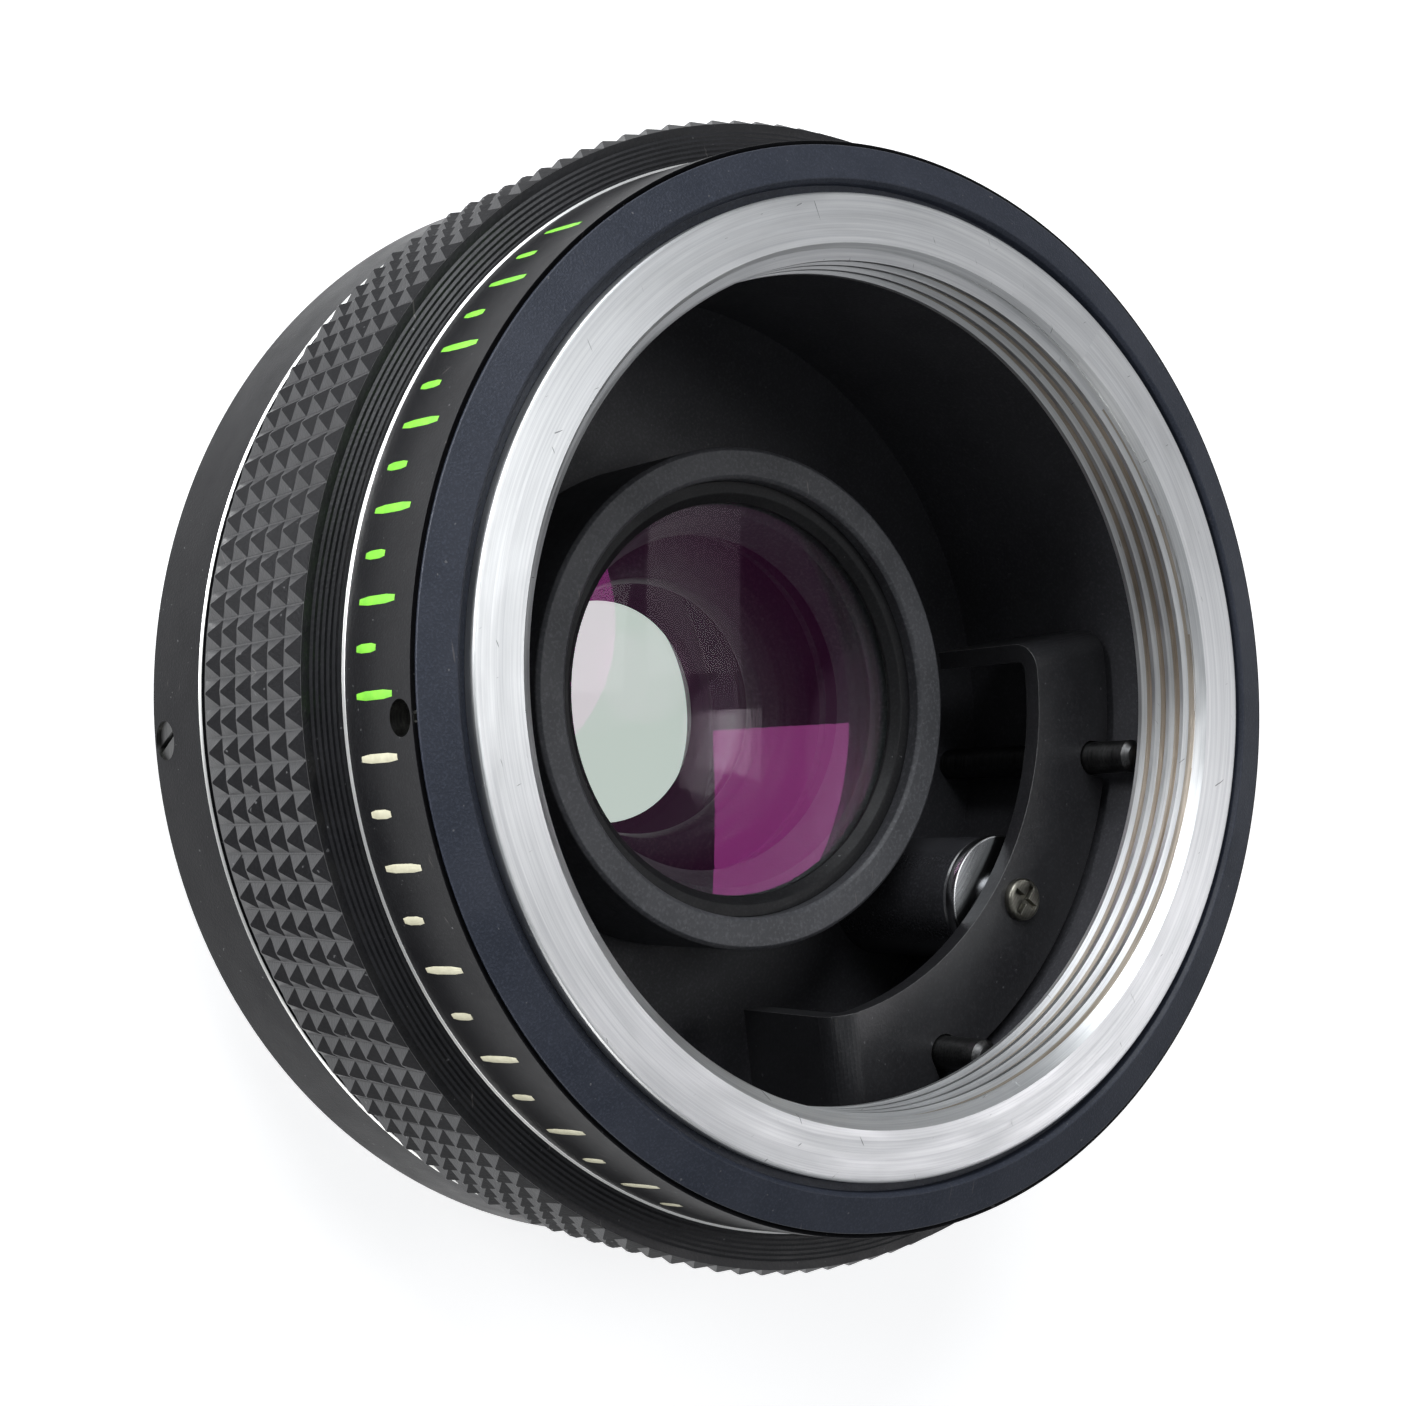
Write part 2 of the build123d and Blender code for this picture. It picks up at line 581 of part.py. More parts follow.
# Pin: a rod with a rounded tip, a wide thin head and a boss, grooved for the clip, tapped on top.
with BuildPart() as aperture_pin:
    with BuildSketch(Plane.XY.offset(PIN_TIP_Z)):
        with Locations((0, PIN_R)):
            Circle(PIN_ROD_R)
    extrude(amount=PIN_FRONT_Z - PIN_TIP_Z)
    fillet(aperture_pin.faces().sort_by(Axis.Z)[0].edges(), radius=PIN_TIP_FILLET)
    with BuildSketch(Plane.XY.offset(PIN_HEAD_REAR_Z)):
        with Locations((0, PIN_R)):
            Circle(PIN_HEAD_R)
    extrude(amount=PIN_HEAD_T)
    with BuildSketch(Plane.XY.offset(PIN_HEAD_REAR_Z + PIN_HEAD_T)):
        with Locations((0, PIN_R)):
            Circle(PIN_BOSS_R)
    extrude(amount=PIN_FRONT_Z - PIN_HEAD_REAR_Z - PIN_HEAD_T)
    with BuildSketch(Plane.XY.offset(CLIP_Z)):
        with Locations((0, PIN_R)):
            Circle(PIN_HEAD_R)
            Circle(CLIP_GROOVE_R, mode=Mode.SUBTRACT)
    extrude(amount=CLIP_T, mode=Mode.SUBTRACT)
    with BuildSketch(Plane.XY.offset(PIN_FRONT_Z - TAP_DEPTH)):
        with Locations((0, PIN_R)):
            Circle(PLATE_SCREW_R)
    extrude(amount=TAP_DEPTH, mode=Mode.SUBTRACT)
save("aperture_pin", aperture_pin.part)

# Clip in the groove of the pin, open on one side.
CLIP_MOUTH = 1.20
with BuildPart() as spring_clip:
    with BuildSketch(Plane.XY.offset(CLIP_Z)):
        with Locations((0, PIN_R)):
            Circle(CLIP_R)
            Circle(CLIP_GROOVE_R, mode=Mode.SUBTRACT)
        with Locations((0, PIN_R + CLIP_R)):
            Rectangle(CLIP_MOUTH, 2 * CLIP_R, mode=Mode.SUBTRACT)
    extrude(amount=CLIP_T)
save("spring_clip", spring_clip.part)

# Coil spring between the clip and the cap of the sleeve.
SPRING_LOW_Z = CLIP_Z + CLIP_T + SPRING_WIRE_R
SPRING_HIGH_Z = SLEEVE_TOP_Z - SLEEVE_CAP_T - SPRING_WIRE_R
SPRING_LENGTH = SPRING_HIGH_Z - SPRING_LOW_Z
with BuildPart() as return_spring:
    with BuildLine():
        coil = Helix(
            pitch=SPRING_LENGTH / SPRING_TURNS,
            height=SPRING_LENGTH,
            radius=SPRING_MEAN_R,
            center=(0, PIN_R, SPRING_LOW_Z),
        )
    with BuildSketch(Plane(origin=coil @ 0, z_dir=coil % 0)):
        Circle(SPRING_WIRE_R)
    sweep(path=coil, is_frenet=True)
save("return_spring", return_spring.part)


def plate_wedge(apex_y):
    """Corners of a wedge open towards +Y, with its apex on the Y axis."""
    reach = 2 * PLATE_OUTER_R
    side_x = reach * sin(radians(PLATE_HALF_ANGLE))
    side_y = reach * cos(radians(PLATE_HALF_ANGLE))
    return [(0, apex_y), (side_x, apex_y + side_y), (0, apex_y + reach), (-side_x, apex_y + side_y)]


# The space under the plate, between its bent ends.
with BuildPart() as plate_hollow:
    with BuildSketch(Plane.XY.offset(PLATE_FOOT_Z)):
        Circle(PLATE_OUTER_R + CUT_MARGIN)
        Circle(PLATE_INNER_R - CUT_MARGIN, mode=Mode.SUBTRACT)
        with BuildLine():
            Polyline(*plate_wedge(PLATE_T / sin(radians(PLATE_HALF_ANGLE))), close=True)
        make_face(mode=Mode.INTERSECT)
    extrude(amount=PLATE_FRONT_Z - PLATE_T - PLATE_FOOT_Z)
    top_ends = plate_hollow.edges().filter_by(GeomType.LINE).group_by(Axis.Z)[-1]
    fillet(top_ends, radius=PLATE_BEND_R - PLATE_T)

# Crescent plate of bent sheet, screwed to the head of the pin and notched round the posts.
with BuildPart() as aperture_plate:
    with BuildSketch(Plane.XY.offset(PLATE_FOOT_Z)):
        Circle(PLATE_OUTER_R)
        Circle(PLATE_INNER_R, mode=Mode.SUBTRACT)
        with BuildLine():
            Polyline(*plate_wedge(0), close=True)
        make_face(mode=Mode.INTERSECT)
    extrude(amount=PLATE_FRONT_Z - PLATE_FOOT_Z)
    top_ends = aperture_plate.edges().filter_by(GeomType.LINE).group_by(Axis.Z)[-1]
    fillet(top_ends, radius=PLATE_BEND_R)
    add(plate_hollow.part, mode=Mode.SUBTRACT)
    with BuildSketch(Plane.XY.offset(PLATE_FOOT_Z)):
        with POST_LOCATIONS:
            Circle(POST_NOTCH_R)
            with Locations((POST_NOTCH_R, 0)):
                Rectangle(2 * POST_NOTCH_R, 2 * POST_NOTCH_R)
        with Locations((0, PIN_R)):
            Circle(PLATE_SCREW_R)
    extrude(amount=PLATE_FRONT_Z - PLATE_FOOT_Z, mode=Mode.SUBTRACT)
save("aperture_plate", aperture_plate.part)

# Small cross-head screw through the plate into the pin.
with BuildPart() as plate_screw:
    with BuildSketch(Plane.XY.offset(PIN_FRONT_Z - TAP_DEPTH + PLATE_SCREW_GAP)):
        with Locations((0, PIN_R)):
            Circle(PLATE_SCREW_R)
    extrude(amount=PLATE_T + TAP_DEPTH - PLATE_SCREW_GAP)
    with BuildSketch(Plane.XY.offset(PLATE_FRONT_Z)):
        with Locations((0, PIN_R)):
            Circle(PLATE_SCREW_HEAD_R)
    extrude(amount=PLATE_SCREW_HEAD_T)
    fillet(plate_screw.faces().sort_by(Axis.Z)[-1].edges(), radius=EDGE_BREAK)
    with BuildSketch(Plane.XY.offset(PLATE_FRONT_Z + PLATE_SCREW_HEAD_T - CROSS_DEPTH)):
        with Locations((0, PIN_R)):
            Rectangle(1.5 * PLATE_SCREW_HEAD_R, CROSS_W)
            Rectangle(CROSS_W, 1.5 * PLATE_SCREW_HEAD_R)
    extrude(amount=CROSS_DEPTH, mode=Mode.SUBTRACT)
save("plate_screw", plate_screw.part)
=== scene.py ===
"""Looks of the screw-mount tele converter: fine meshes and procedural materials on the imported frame.

The optical axis is Z and +Z points out of the front. Sizes are written in millimetres and turned
into metres by MM where a mesh is made.
"""

import math
import random

import bmesh
import bpy
from mathutils import Matrix, Vector


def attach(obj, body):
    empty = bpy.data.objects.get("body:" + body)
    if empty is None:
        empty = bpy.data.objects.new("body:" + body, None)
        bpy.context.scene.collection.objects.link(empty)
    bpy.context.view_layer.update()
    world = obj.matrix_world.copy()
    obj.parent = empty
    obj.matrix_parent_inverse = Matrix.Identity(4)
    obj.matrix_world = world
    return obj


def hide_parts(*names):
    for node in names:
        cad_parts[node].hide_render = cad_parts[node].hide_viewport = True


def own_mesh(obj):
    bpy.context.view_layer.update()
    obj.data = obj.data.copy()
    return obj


MM = 0.001
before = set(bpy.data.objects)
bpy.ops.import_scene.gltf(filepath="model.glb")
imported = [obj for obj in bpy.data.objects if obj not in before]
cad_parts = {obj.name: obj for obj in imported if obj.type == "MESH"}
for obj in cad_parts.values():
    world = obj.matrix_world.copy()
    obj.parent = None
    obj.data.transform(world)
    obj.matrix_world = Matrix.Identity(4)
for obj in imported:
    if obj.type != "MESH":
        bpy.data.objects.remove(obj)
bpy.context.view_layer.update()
random.seed(7)

# ---------------------------------------------------------------- dimensions of the object, in mm

FRONT_Z = 28.30
SEAT_Z = 23.70
THREAD_MINOR_R = 20.46
THREAD_MAJOR_R = 21.00
THREAD_PITCH = 1.00
MOUTH_CHAMFER = 0.70
RING_OUTER_R = 23.61
TRIM_INNER_R = 24.05
TRIM_SKIRT_R = 25.60
TRIM_OUTER_R = 25.98
TRIM_LIP_Z = 27.56
GAP_FLOOR_Z = 27.60
BODY_R = 25.00
FLOOR_Z = 8.30
BODY_REAR_Z = 6.00
FLANGE_Z = 4.50
MOUNT_BORE_R = 19.75
NAME_FRONT_R = 26.20
NAME_REAR_R = 26.62
NAME_FRONT_Z = 27.62
BRIGHT_LINE_R = 26.72  # a narrow bright lip at the rear edge of the name ring
BRIGHT_LINE_TOP_Z = 22.45
GRIP_FRONT_Z = 22.30
GRIP_REAR_Z = 11.20
GRIP_ROOT_R = 28.25
KNURL_ROOT_R = 28.50
KNURL_TIP_R = 28.88
KNURL_LOW_Z = 11.80
KNURL_HIGH_Z = 22.05
KNURL_ROWS = 6
KNURL_AROUND = 132
REAR_RING_FRONT_Z = 11.10
REAR_RING_FRONT_R = 28.50
REAR_RING_R = 28.82
BRIGHT_CUT = 0.10
PIN_R = 18.50  # from the optical axis to the axis of the aperture pin
PIN_ROD_R = 1.00
PIN_HEAD_R = 3.50
PIN_HEAD_REAR_Z = 18.00
PIN_HEAD_T = 0.70
PIN_BOSS_R = 1.60
PIN_FRONT_Z = 19.20
PIN_TIP_Z = 0.25
PIN_TIP_FILLET = 0.60
CLIP_Z = 9.60
CLIP_T = 0.40
CLIP_GROOVE_R = 0.75
TAP_DEPTH = 3.00
PLATE_SCREW_R = 0.70
SLEEVE_R = 3.40
SLEEVE_SPIGOT_R = 2.40
SLEEVE_BORE_R = 1.90
SLEEVE_CAP_BORE_R = 1.06
SLEEVE_CAP_T = 0.90
SLEEVE_FOOT_Z = 6.60
SLEEVE_TOP_Z = 17.90
GRUB_ANGLES = (-49.3, 70.7, 190.7)
FRONT_GRUB_Z = 26.70
FRONT_GRUB_R = 0.80
REAR_GRUB_Z = 7.30
REAR_GRUB_R = 0.95
HOLE_START = 0.50  # a drilled hole starts this far inside the wall
SPRING_LOW_Z = 10.16
SPRING_HIGH_Z = 16.84
SPRING_MEAN_R = 1.50
SPRING_WIRE_R = 0.16
SPRING_TURNS = 7
MOUNT_SCREW_RING_R = 23.00
MOUNT_SCREW_R = 0.80
MOUNT_SCREW_COUNT = 4
COUNTERSINK_R = 1.48
COUNTERSINK_DEPTH = 0.68
RELIEF_W = 0.60  # plain neck between the male thread and its flange
TRIM_DROP = 0.10
LIP_GAP = 0.10
EDGE_BREAK = 0.20

# One pitch of the thread: places along it as shares of the pitch, and the depth there, 0 at the
# crest and 1 at the root.
THREAD_PROFILE = ((0.0, 0.0), (0.25, 0.0), (0.5625, 1.0), (0.6875, 1.0), (1.0, 0.0))
EXTERNAL_THREAD_DEPTH = 0.6134  # depth of the male thread as a share of its pitch

# Lenses: rim radius, front vertex, rear vertex, front curve, rear curve. A curve is positive where
# the surface bulges out of the glass.
LENSES = {
    "lens_1": (11.00, 14.94, 13.01, 150.0, 117.0),
    "lens_2": (11.00, 12.71, 11.11, 20.3, -18.2),
    "lens_3": (11.00, 10.19, 8.52, 17.8, -18.6),
    "lens_4": (7.60, 4.54, 3.29, -41.5, -26.9),
}
GLASS_IOR = 1.62

ROUND = 256  # segments round the large rings


# ---------------------------------------------------------------- material helpers

class Nodes:
    """A material's node tree with short calls for adding and linking nodes."""

    def __init__(self, name):
        self.material = bpy.data.materials.new(name)
        self.material.use_nodes = True
        self.tree = self.material.node_tree
        self.shader = self.tree.nodes["Principled BSDF"]

    def add(self, kind, **values):
        node = self.tree.nodes.new(kind)
        for key, value in values.items():
            setattr(node, key, value)
        return node

    def link(self, source, target):
        self.tree.links.new(source, target)

    def math(self, operation, a, b=None):
        node = self.add("ShaderNodeMath", operation=operation)
        for socket, value in zip(node.inputs, (a, b)):
            if value is None:
                continue
            if isinstance(value, (int, float)):
                socket.default_value = value
            else:
                self.link(value, socket)
        return node.outputs[0]

    def place(self):
        """Position on the piece, in metres in the row frame."""
        return self.add("ShaderNodeTexCoord").outputs["Object"]

    def turned(self, along, around, up):
        """Coordinates that follow a turned surface: radius, angle and height, each with a scale."""
        split = self.add("ShaderNodeSeparateXYZ")
        self.link(self.place(), split.inputs[0])
        x, y, z = split.outputs
        radius = self.math("SQRT", self.math("ADD", self.math("MULTIPLY", x, x), self.math("MULTIPLY", y, y)))
        angle = self.math("ARCTAN2", y, x)
        join = self.add("ShaderNodeCombineXYZ")
        self.link(self.math("MULTIPLY", radius, along), join.inputs[0])
        self.link(self.math("MULTIPLY", angle, around), join.inputs[1])
        self.link(self.math("MULTIPLY", z, up), join.inputs[2])
        return join.outputs[0]

    def noise(self, where, scale, detail=3.0, rough=0.55):
        node = self.add("ShaderNodeTexNoise")
        node.inputs["Scale"].default_value = scale
        node.inputs["Detail"].default_value = detail
        node.inputs["Roughness"].default_value = rough
        self.link(where, node.inputs["Vector"])
        return node.outputs["Fac"]

    def spread(self, value, low, high, to_low, to_high):
        node = self.add("ShaderNodeMapRange")
        for name, number in (("From Min", low), ("From Max", high), ("To Min", to_low), ("To Max", to_high)):
            node.inputs[name].default_value = number
        self.link(value, node.inputs["Value"])
        return node.outputs["Result"]

    def blend(self, factor, first, second):
        """Mix of two colours, each a tuple or an output."""
        node = self.add("ShaderNodeMix", data_type="RGBA")
        self.link(factor, node.inputs["Factor"])
        for socket, value in ((node.inputs[6], first), (node.inputs[7], second)):
            if isinstance(value, tuple):
                socket.default_value = (*value, 1.0)
            else:
                self.link(value, socket)
        return node.outputs[2]

    def bump(self, height, strength, distance):
        """Adds a bump under the shader; a second call stacks on the first."""
        node = self.add("ShaderNodeBump")
        node.inputs["Strength"].default_value = strength
        node.inputs["Distance"].default_value = distance
        self.link(height, node.inputs["Height"])
        earlier = self.shader.inputs["Normal"].links
        if earlier:
            self.link(earlier[0].from_socket, node.inputs["Normal"])
        self.link(node.outputs["Normal"], self.shader.inputs["Normal"])

    def streaks(self, turn, fine, long, level):
        """Mask of short straight scratches across the piece in one direction, 1 on a scratch."""
        spun = self.add("ShaderNodeMapping")
        spun.inputs["Rotation"].default_value = (0.5 * turn, 0.3 * turn, turn)
        self.link(self.place(), spun.inputs["Vector"])
        stretched = self.add("ShaderNodeMapping")
        stretched.inputs["Scale"].default_value = (fine, long, long)
        self.link(spun.outputs[0], stretched.inputs["Vector"])
        return self.spread(self.noise(stretched.outputs[0], 1.0, 1.0), level, level + 0.03, 0.0, 1.0)


def turned_metal(name, light, dark, rough_low, rough_high, cut=0.5, nicks=True):
    """Bright metal with the fine rings left by the lathe, uneven sheen and a few nicks."""
    n = Nodes(name)
    rings = n.noise(n.turned(9000, 1.2, 9000), 1.0, 4.0, 0.7)
    broad = n.noise(n.place(), 160, 3.0)
    tangent = n.add("ShaderNodeTangent", direction_type="RADIAL", axis="Z")
    n.link(tangent.outputs[0], n.shader.inputs["Tangent"])
    arcs = n.noise(n.turned(1400, 5.0, 1400), 1.0, 3.0)
    shade = n.math("ADD", n.math("MULTIPLY", rings, 0.85), n.math("MULTIPLY", broad, 0.15))
    colour = n.blend(n.spread(shade, 0.35, 0.65, 0.0, 1.0), dark, light)
    rough = n.spread(arcs, 0.3, 0.7, rough_low, rough_high)
    if nicks:
        first = n.streaks(0.6, 9000, 700, 0.775)
        marks = n.math("MAXIMUM", first, n.streaks(-1.1, 8000, 900, 0.78))
        colour = n.blend(marks, colour, tuple(0.5 * c for c in dark))
        rough = n.math("ADD", rough, n.math("MULTIPLY", marks, 0.25))
        n.bump(marks, 0.4, -0.00002)
    n.link(colour, n.shader.inputs["Base Color"])
    n.link(rough, n.shader.inputs["Roughness"])
    n.shader.inputs["Metallic"].default_value = 1.0
    n.shader.inputs["Anisotropic"].default_value = 0.5 if nicks else 0.0
    n.shader.inputs["Anisotropic Rotation"].default_value = 0.25
    n.bump(rings, cut, 0.000006)
    return n.material


def black_finish(name, base, lighter, rough_low, rough_high, grain, grain_depth, gloss, wear=0.0):
    """Black finish on metal: fine grain, uneven depth of colour, dust specks and, if asked, rubs."""
    n = Nodes(name)
    fine = n.noise(n.place(), grain, 2.0, 0.6)
    cloud = n.noise(n.place(), 210, 4.0)
    colour = n.blend(n.spread(cloud, 0.3, 0.7, 0.0, 1.0), base, lighter)
    colour = n.blend(n.spread(fine, 0.48, 0.75, 0.0, 0.6), colour, tuple(1.8 * c for c in lighter))
    specks = n.spread(n.noise(n.place(), 3400, 1.0), 0.765, 0.79, 0.0, 0.5)
    colour = n.blend(specks, colour, (0.16, 0.16, 0.165))
    rough = n.spread(n.noise(n.place(), 480, 3.0), 0.3, 0.7, rough_low, rough_high)
    if wear:
        rubs = n.streaks(0.9, 5200, 380, 0.77)
        colour = n.blend(n.math("MULTIPLY", rubs, wear), colour, (0.22, 0.20, 0.19))
    n.link(colour, n.shader.inputs["Base Color"])
    n.link(rough, n.shader.inputs["Roughness"])
    n.shader.inputs["Specular IOR Level"].default_value = gloss
    n.bump(fine, grain_depth, 0.00002)
    return n.material


def paint(name, base, darker):
    """Paint filled into the marks: slightly uneven, with a soft gloss."""
    n = Nodes(name)
    cloud = n.noise(n.place(), 1500, 3.0)
    n.link(n.blend(n.spread(cloud, 0.35, 0.7, 0.0, 1.0), base, darker), n.shader.inputs["Base Color"])
    n.link(n.spread(n.noise(n.place(), 2500), 0.3, 0.7, 0.38, 0.55), n.shader.inputs["Roughness"])
    n.bump(cloud, 0.3, 0.00001)
    return n.material


def coated_glass(name, tint):
    """Lens glass with the coloured reflection of its coating and a trace of dust."""
    n = Nodes(name)
    shader = n.shader
    shader.inputs["Base Color"].default_value = (0.975, 1.0, 0.985, 1.0)
    shader.inputs["IOR"].default_value = GLASS_IOR
    shader.inputs["Transmission Weight"].default_value = 1.0
    shader.inputs["Specular Tint"].default_value = (*tint, 1.0)
    dust = n.spread(n.noise(n.place(), 2200, 2.0), 0.74, 0.80, 0.0, 0.06)
    n.link(dust, shader.inputs["Roughness"])
    return n.material


MATERIALS = {
    "bright_aluminium": turned_metal("bright_aluminium", (0.86, 0.87, 0.87), (0.66, 0.67, 0.68), 0.34, 0.46),
    # darker, browner copy of the bright aluminium for the thread roots: painted shade in the grooves
    "thread_root_painted_shade": turned_metal(
        "thread_root_painted_shade", (0.62, 0.55, 0.47), (0.36, 0.31, 0.25), 0.34, 0.46, 0.4, False
    ),
    "bright_cut": turned_metal("bright_cut", (0.95, 0.95, 0.93), (0.88, 0.88, 0.86), 0.30, 0.42, 0.2, False),
    # dark metal for the walls of the drilled holes, far darker than the rings: painted shade inside the holes
    "hole_wall_painted_shade": turned_metal("hole_wall_painted_shade", (0.15, 0.15, 0.14), (0.06, 0.06, 0.06), 0.26, 0.40, 0.4, False),
    "chrome": turned_metal("chrome", (0.66, 0.66, 0.66), (0.55, 0.55, 0.56), 0.18, 0.26, 0.2, False),
    # darker copy of the chrome for the front face of the pin head: painted shade under the plate
    "pin_face_painted_shade": turned_metal("pin_face_painted_shade", (0.25, 0.26, 0.26), (0.13, 0.13, 0.14), 0.20, 0.30, 0.2, False),
    "steel": turned_metal("steel", (0.46, 0.46, 0.44), (0.32, 0.32, 0.31), 0.26, 0.38, 0.4),
    "aged_steel": turned_metal("aged_steel", (0.30, 0.29, 0.25), (0.17, 0.165, 0.14), 0.28, 0.40, 0.4),
    "dark_steel": turned_metal("dark_steel", (0.11, 0.11, 0.11), (0.05, 0.05, 0.05), 0.30, 0.44, 0.4),
    "trim_black": black_finish(
        "trim_black", (0.015, 0.019, 0.030), (0.027, 0.031, 0.044), 0.40, 0.50, 9000, 1.0, 0.36, 0.2
    ),
    "satin_black": black_finish(
        "satin_black", (0.006, 0.006, 0.007), (0.010, 0.010, 0.011), 0.34, 0.44, 8000, 0.5, 0.15, 0.25
    ),
    "rear_black": black_finish(
        "rear_black", (0.005, 0.005, 0.006), (0.008, 0.008, 0.009), 0.30, 0.38, 8000, 0.5, 0.05, 0.25
    ),
    "knurl_black": black_finish(
        "knurl_black", (0.005, 0.005, 0.006), (0.011, 0.011, 0.013), 0.32, 0.42, 7000, 0.8, 0.42, 0.3
    ),
    # darker, duller copy of knurl_black for the front facets of the knurl: painted shade
    "knurl_painted_shade": black_finish(
        "knurl_painted_shade", (0.003, 0.003, 0.004), (0.006, 0.006, 0.007), 0.38, 0.48, 7000, 0.8, 0.12, 0.2
    ),
    "plate_black": black_finish(
        "plate_black", (0.016, 0.016, 0.018), (0.025, 0.025, 0.027), 0.28, 0.38, 7000, 0.4, 0.60
    ),
    # lighter black with rubs for the plate's rounded edges; the lighter tone is a painted highlight
    "edge_painted_highlight": black_finish(
        "edge_painted_highlight", (0.06, 0.06, 0.06), (0.10, 0.10, 0.10), 0.34, 0.44, 7000, 0.4, 0.60, 0.5
    ),
    "matt_black": black_finish(
        "matt_black", (0.038, 0.038, 0.043), (0.054, 0.054, 0.060), 0.46, 0.58, 6000, 0.6, 0.45
    ),
    "sleeve_black": black_finish(
        "sleeve_black", (0.030, 0.030, 0.034), (0.045, 0.045, 0.050), 0.18, 0.26, 7000, 0.3, 0.9
    ),
    "bore_black": black_finish(
        "bore_black", (0.008, 0.008, 0.009), (0.014, 0.014, 0.015), 0.40, 0.52, 6000, 0.6, 0.25
    ),
    "cell_grey": black_finish(
        "cell_grey", (0.048, 0.049, 0.054), (0.074, 0.075, 0.082), 0.44, 0.56, 5200, 1.0, 0.45, 0.6
    ),
    "green_paint": paint("green_paint", (0.20, 0.60, 0.04), (0.14, 0.46, 0.03)),
    "cream_paint": paint("cream_paint", (0.56, 0.54, 0.40), (0.44, 0.42, 0.30)),
    "clear_coat_glass": coated_glass("clear_coat_glass", (0.03, 0.006, 0.025)),
    "front_glass": coated_glass("front_glass", (0.72, 0.027, 0.50)),
    "inner_glass": coated_glass("inner_glass", (0.06, 0.008, 0.045)),
}


# ---------------------------------------------------------------- mesh helpers

def new_piece(name, vertices, faces, materials, body="barrel"):
    """Piece from points in millimetres, riding on a body."""
    mesh = bpy.data.meshes.new(name)
    mesh.from_pydata([tuple(c * MM for c in v) for v in vertices], [], faces)
    mesh.validate()
    obj = bpy.data.objects.new(name, mesh)
    bpy.context.scene.collection.objects.link(obj)
    for material in materials:
        mesh.materials.append(MATERIALS[material])
    tidy_mesh(obj)
    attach(obj, body)
    return obj


def tidy_mesh(obj, weld=0.0005):
    """Welds points closer than weld millimetres, drops empty faces and turns all faces outwards."""
    bm = bmesh.new()
    bm.from_mesh(obj.data)
    bmesh.ops.remove_doubles(bm, verts=bm.verts, dist=weld * MM)
    bmesh.ops.dissolve_degenerate(bm, edges=bm.edges, dist=weld * MM)
    bmesh.ops.recalc_face_normals(bm, faces=bm.faces)
    bm.to_mesh(obj.data)
    bm.free()


def soften(obj, angle=32.0):
    """Smooth shading with true edges kept sharp and flat faces kept flat."""
    obj.data.shade_smooth()
    obj.data.set_sharp_from_angle(angle=math.radians(angle))
    weighted = obj.modifiers.new("weighted", "WEIGHTED_NORMAL")
    weighted.keep_sharp = True
    weighted.weight = 80
    return obj


def rounded(points, radius, steps=4):
    """Closed outline with each corner replaced by a small arc."""
    result = []
    count = len(points)
    for index, corner in enumerate(points):
        corner = Vector(corner)
        before = Vector(points[index - 1]) - corner
        after = Vector(points[(index + 1) % count]) - corner
        size = min(radius, 0.4 * before.length, 0.4 * after.length)
        start = corner + before.normalized() * size
        end = corner + after.normalized() * size
        for step in range(steps + 1):
            t = step / steps
            result.append(tuple((1 - t) ** 2 * start + 2 * t * (1 - t) * corner + t**2 * end))
    return result


def lathe(name, outline, material, centre=(0.0, 0.0), segments=ROUND, body="barrel", paints=()):
    """Closed ring or disc turned from an outline of (radius, height).

    paints is a list of (material, test), where test takes the radius and height of a face.
    """
    vertices = []
    faces = []
    count = len(outline)
    for index in range(segments):
        angle = 2 * math.pi * index / segments
        for radius, height in outline:
            x, y = centre[0] + radius * math.cos(angle), centre[1] + radius * math.sin(angle)
            vertices.append((x, y, height))
    for index in range(segments):
        here, there = index * count, (index + 1) % segments * count
        for step in range(count):
            after = (step + 1) % count
            faces.append((here + step, there + step, there + after, here + after))
    obj = new_piece(name, vertices, faces, [material, *[p[0] for p in paints]], body)
    for face in obj.data.polygons:
        x, y, z = (c / MM for c in face.center)
        radius = math.hypot(x - centre[0], y - centre[1])
        for number, (_, test) in enumerate(paints, 1):
            if test(radius, z):
                face.material_index = number
    return soften(obj)


def baked(obj):
    """Replaces the mesh by its modified form and drops the modifiers."""
    graph = bpy.context.evaluated_depsgraph_get()
    mesh = bpy.data.meshes.new_from_object(obj.evaluated_get(graph))
    obj.modifiers.clear()
    obj.data = mesh
    return obj


def radial_cutter(angle, z, radius, start, end, material):
    """Cylinder across the wall of a ring, pointing outwards, with its own material."""
    bm = bmesh.new()
    bmesh.ops.create_cone(
        bm, cap_ends=True, segments=48, radius1=radius * MM, radius2=radius * MM, depth=(end - start) * MM
    )
    mesh = bpy.data.meshes.new("cutter")
    bm.to_mesh(mesh)
    bm.free()
    mesh.materials.append(MATERIALS[material])
    cutter = bpy.data.objects.new("cutter", mesh)
    bpy.context.scene.collection.objects.link(cutter)
    turn = Matrix.Rotation(math.radians(angle), 4, "Z") @ Matrix.Rotation(math.pi / 2, 4, "Y")
    middle = (start + end) / 2
    cutter.matrix_world = Matrix.Translation(
        Vector((middle * math.cos(math.radians(angle)), middle * math.sin(math.radians(angle)), z)) * MM
    ) @ turn
    return cutter


# the walls of the holes take a dark metal by default: painted shade inside the holes
def drill(obj, z, radius, start, end, material="hole_wall_painted_shade"):
    """Drills the three grub-screw holes of a ring."""
    obj.modifiers.clear()
    cutters = [radial_cutter(angle, z, radius, start, end, material) for angle in GRUB_ANGLES]
    for cutter in cutters:
        cut = obj.modifiers.new("hole", "BOOLEAN")
        cut.operation = "DIFFERENCE"
        cut.solver = "EXACT"
        cut.material_mode = "TRANSFER"
        cut.object = cutter
    bpy.context.view_layer.update()
    baked(obj)
    for cutter in cutters:
        bpy.data.objects.remove(cutter)
    return soften(obj)


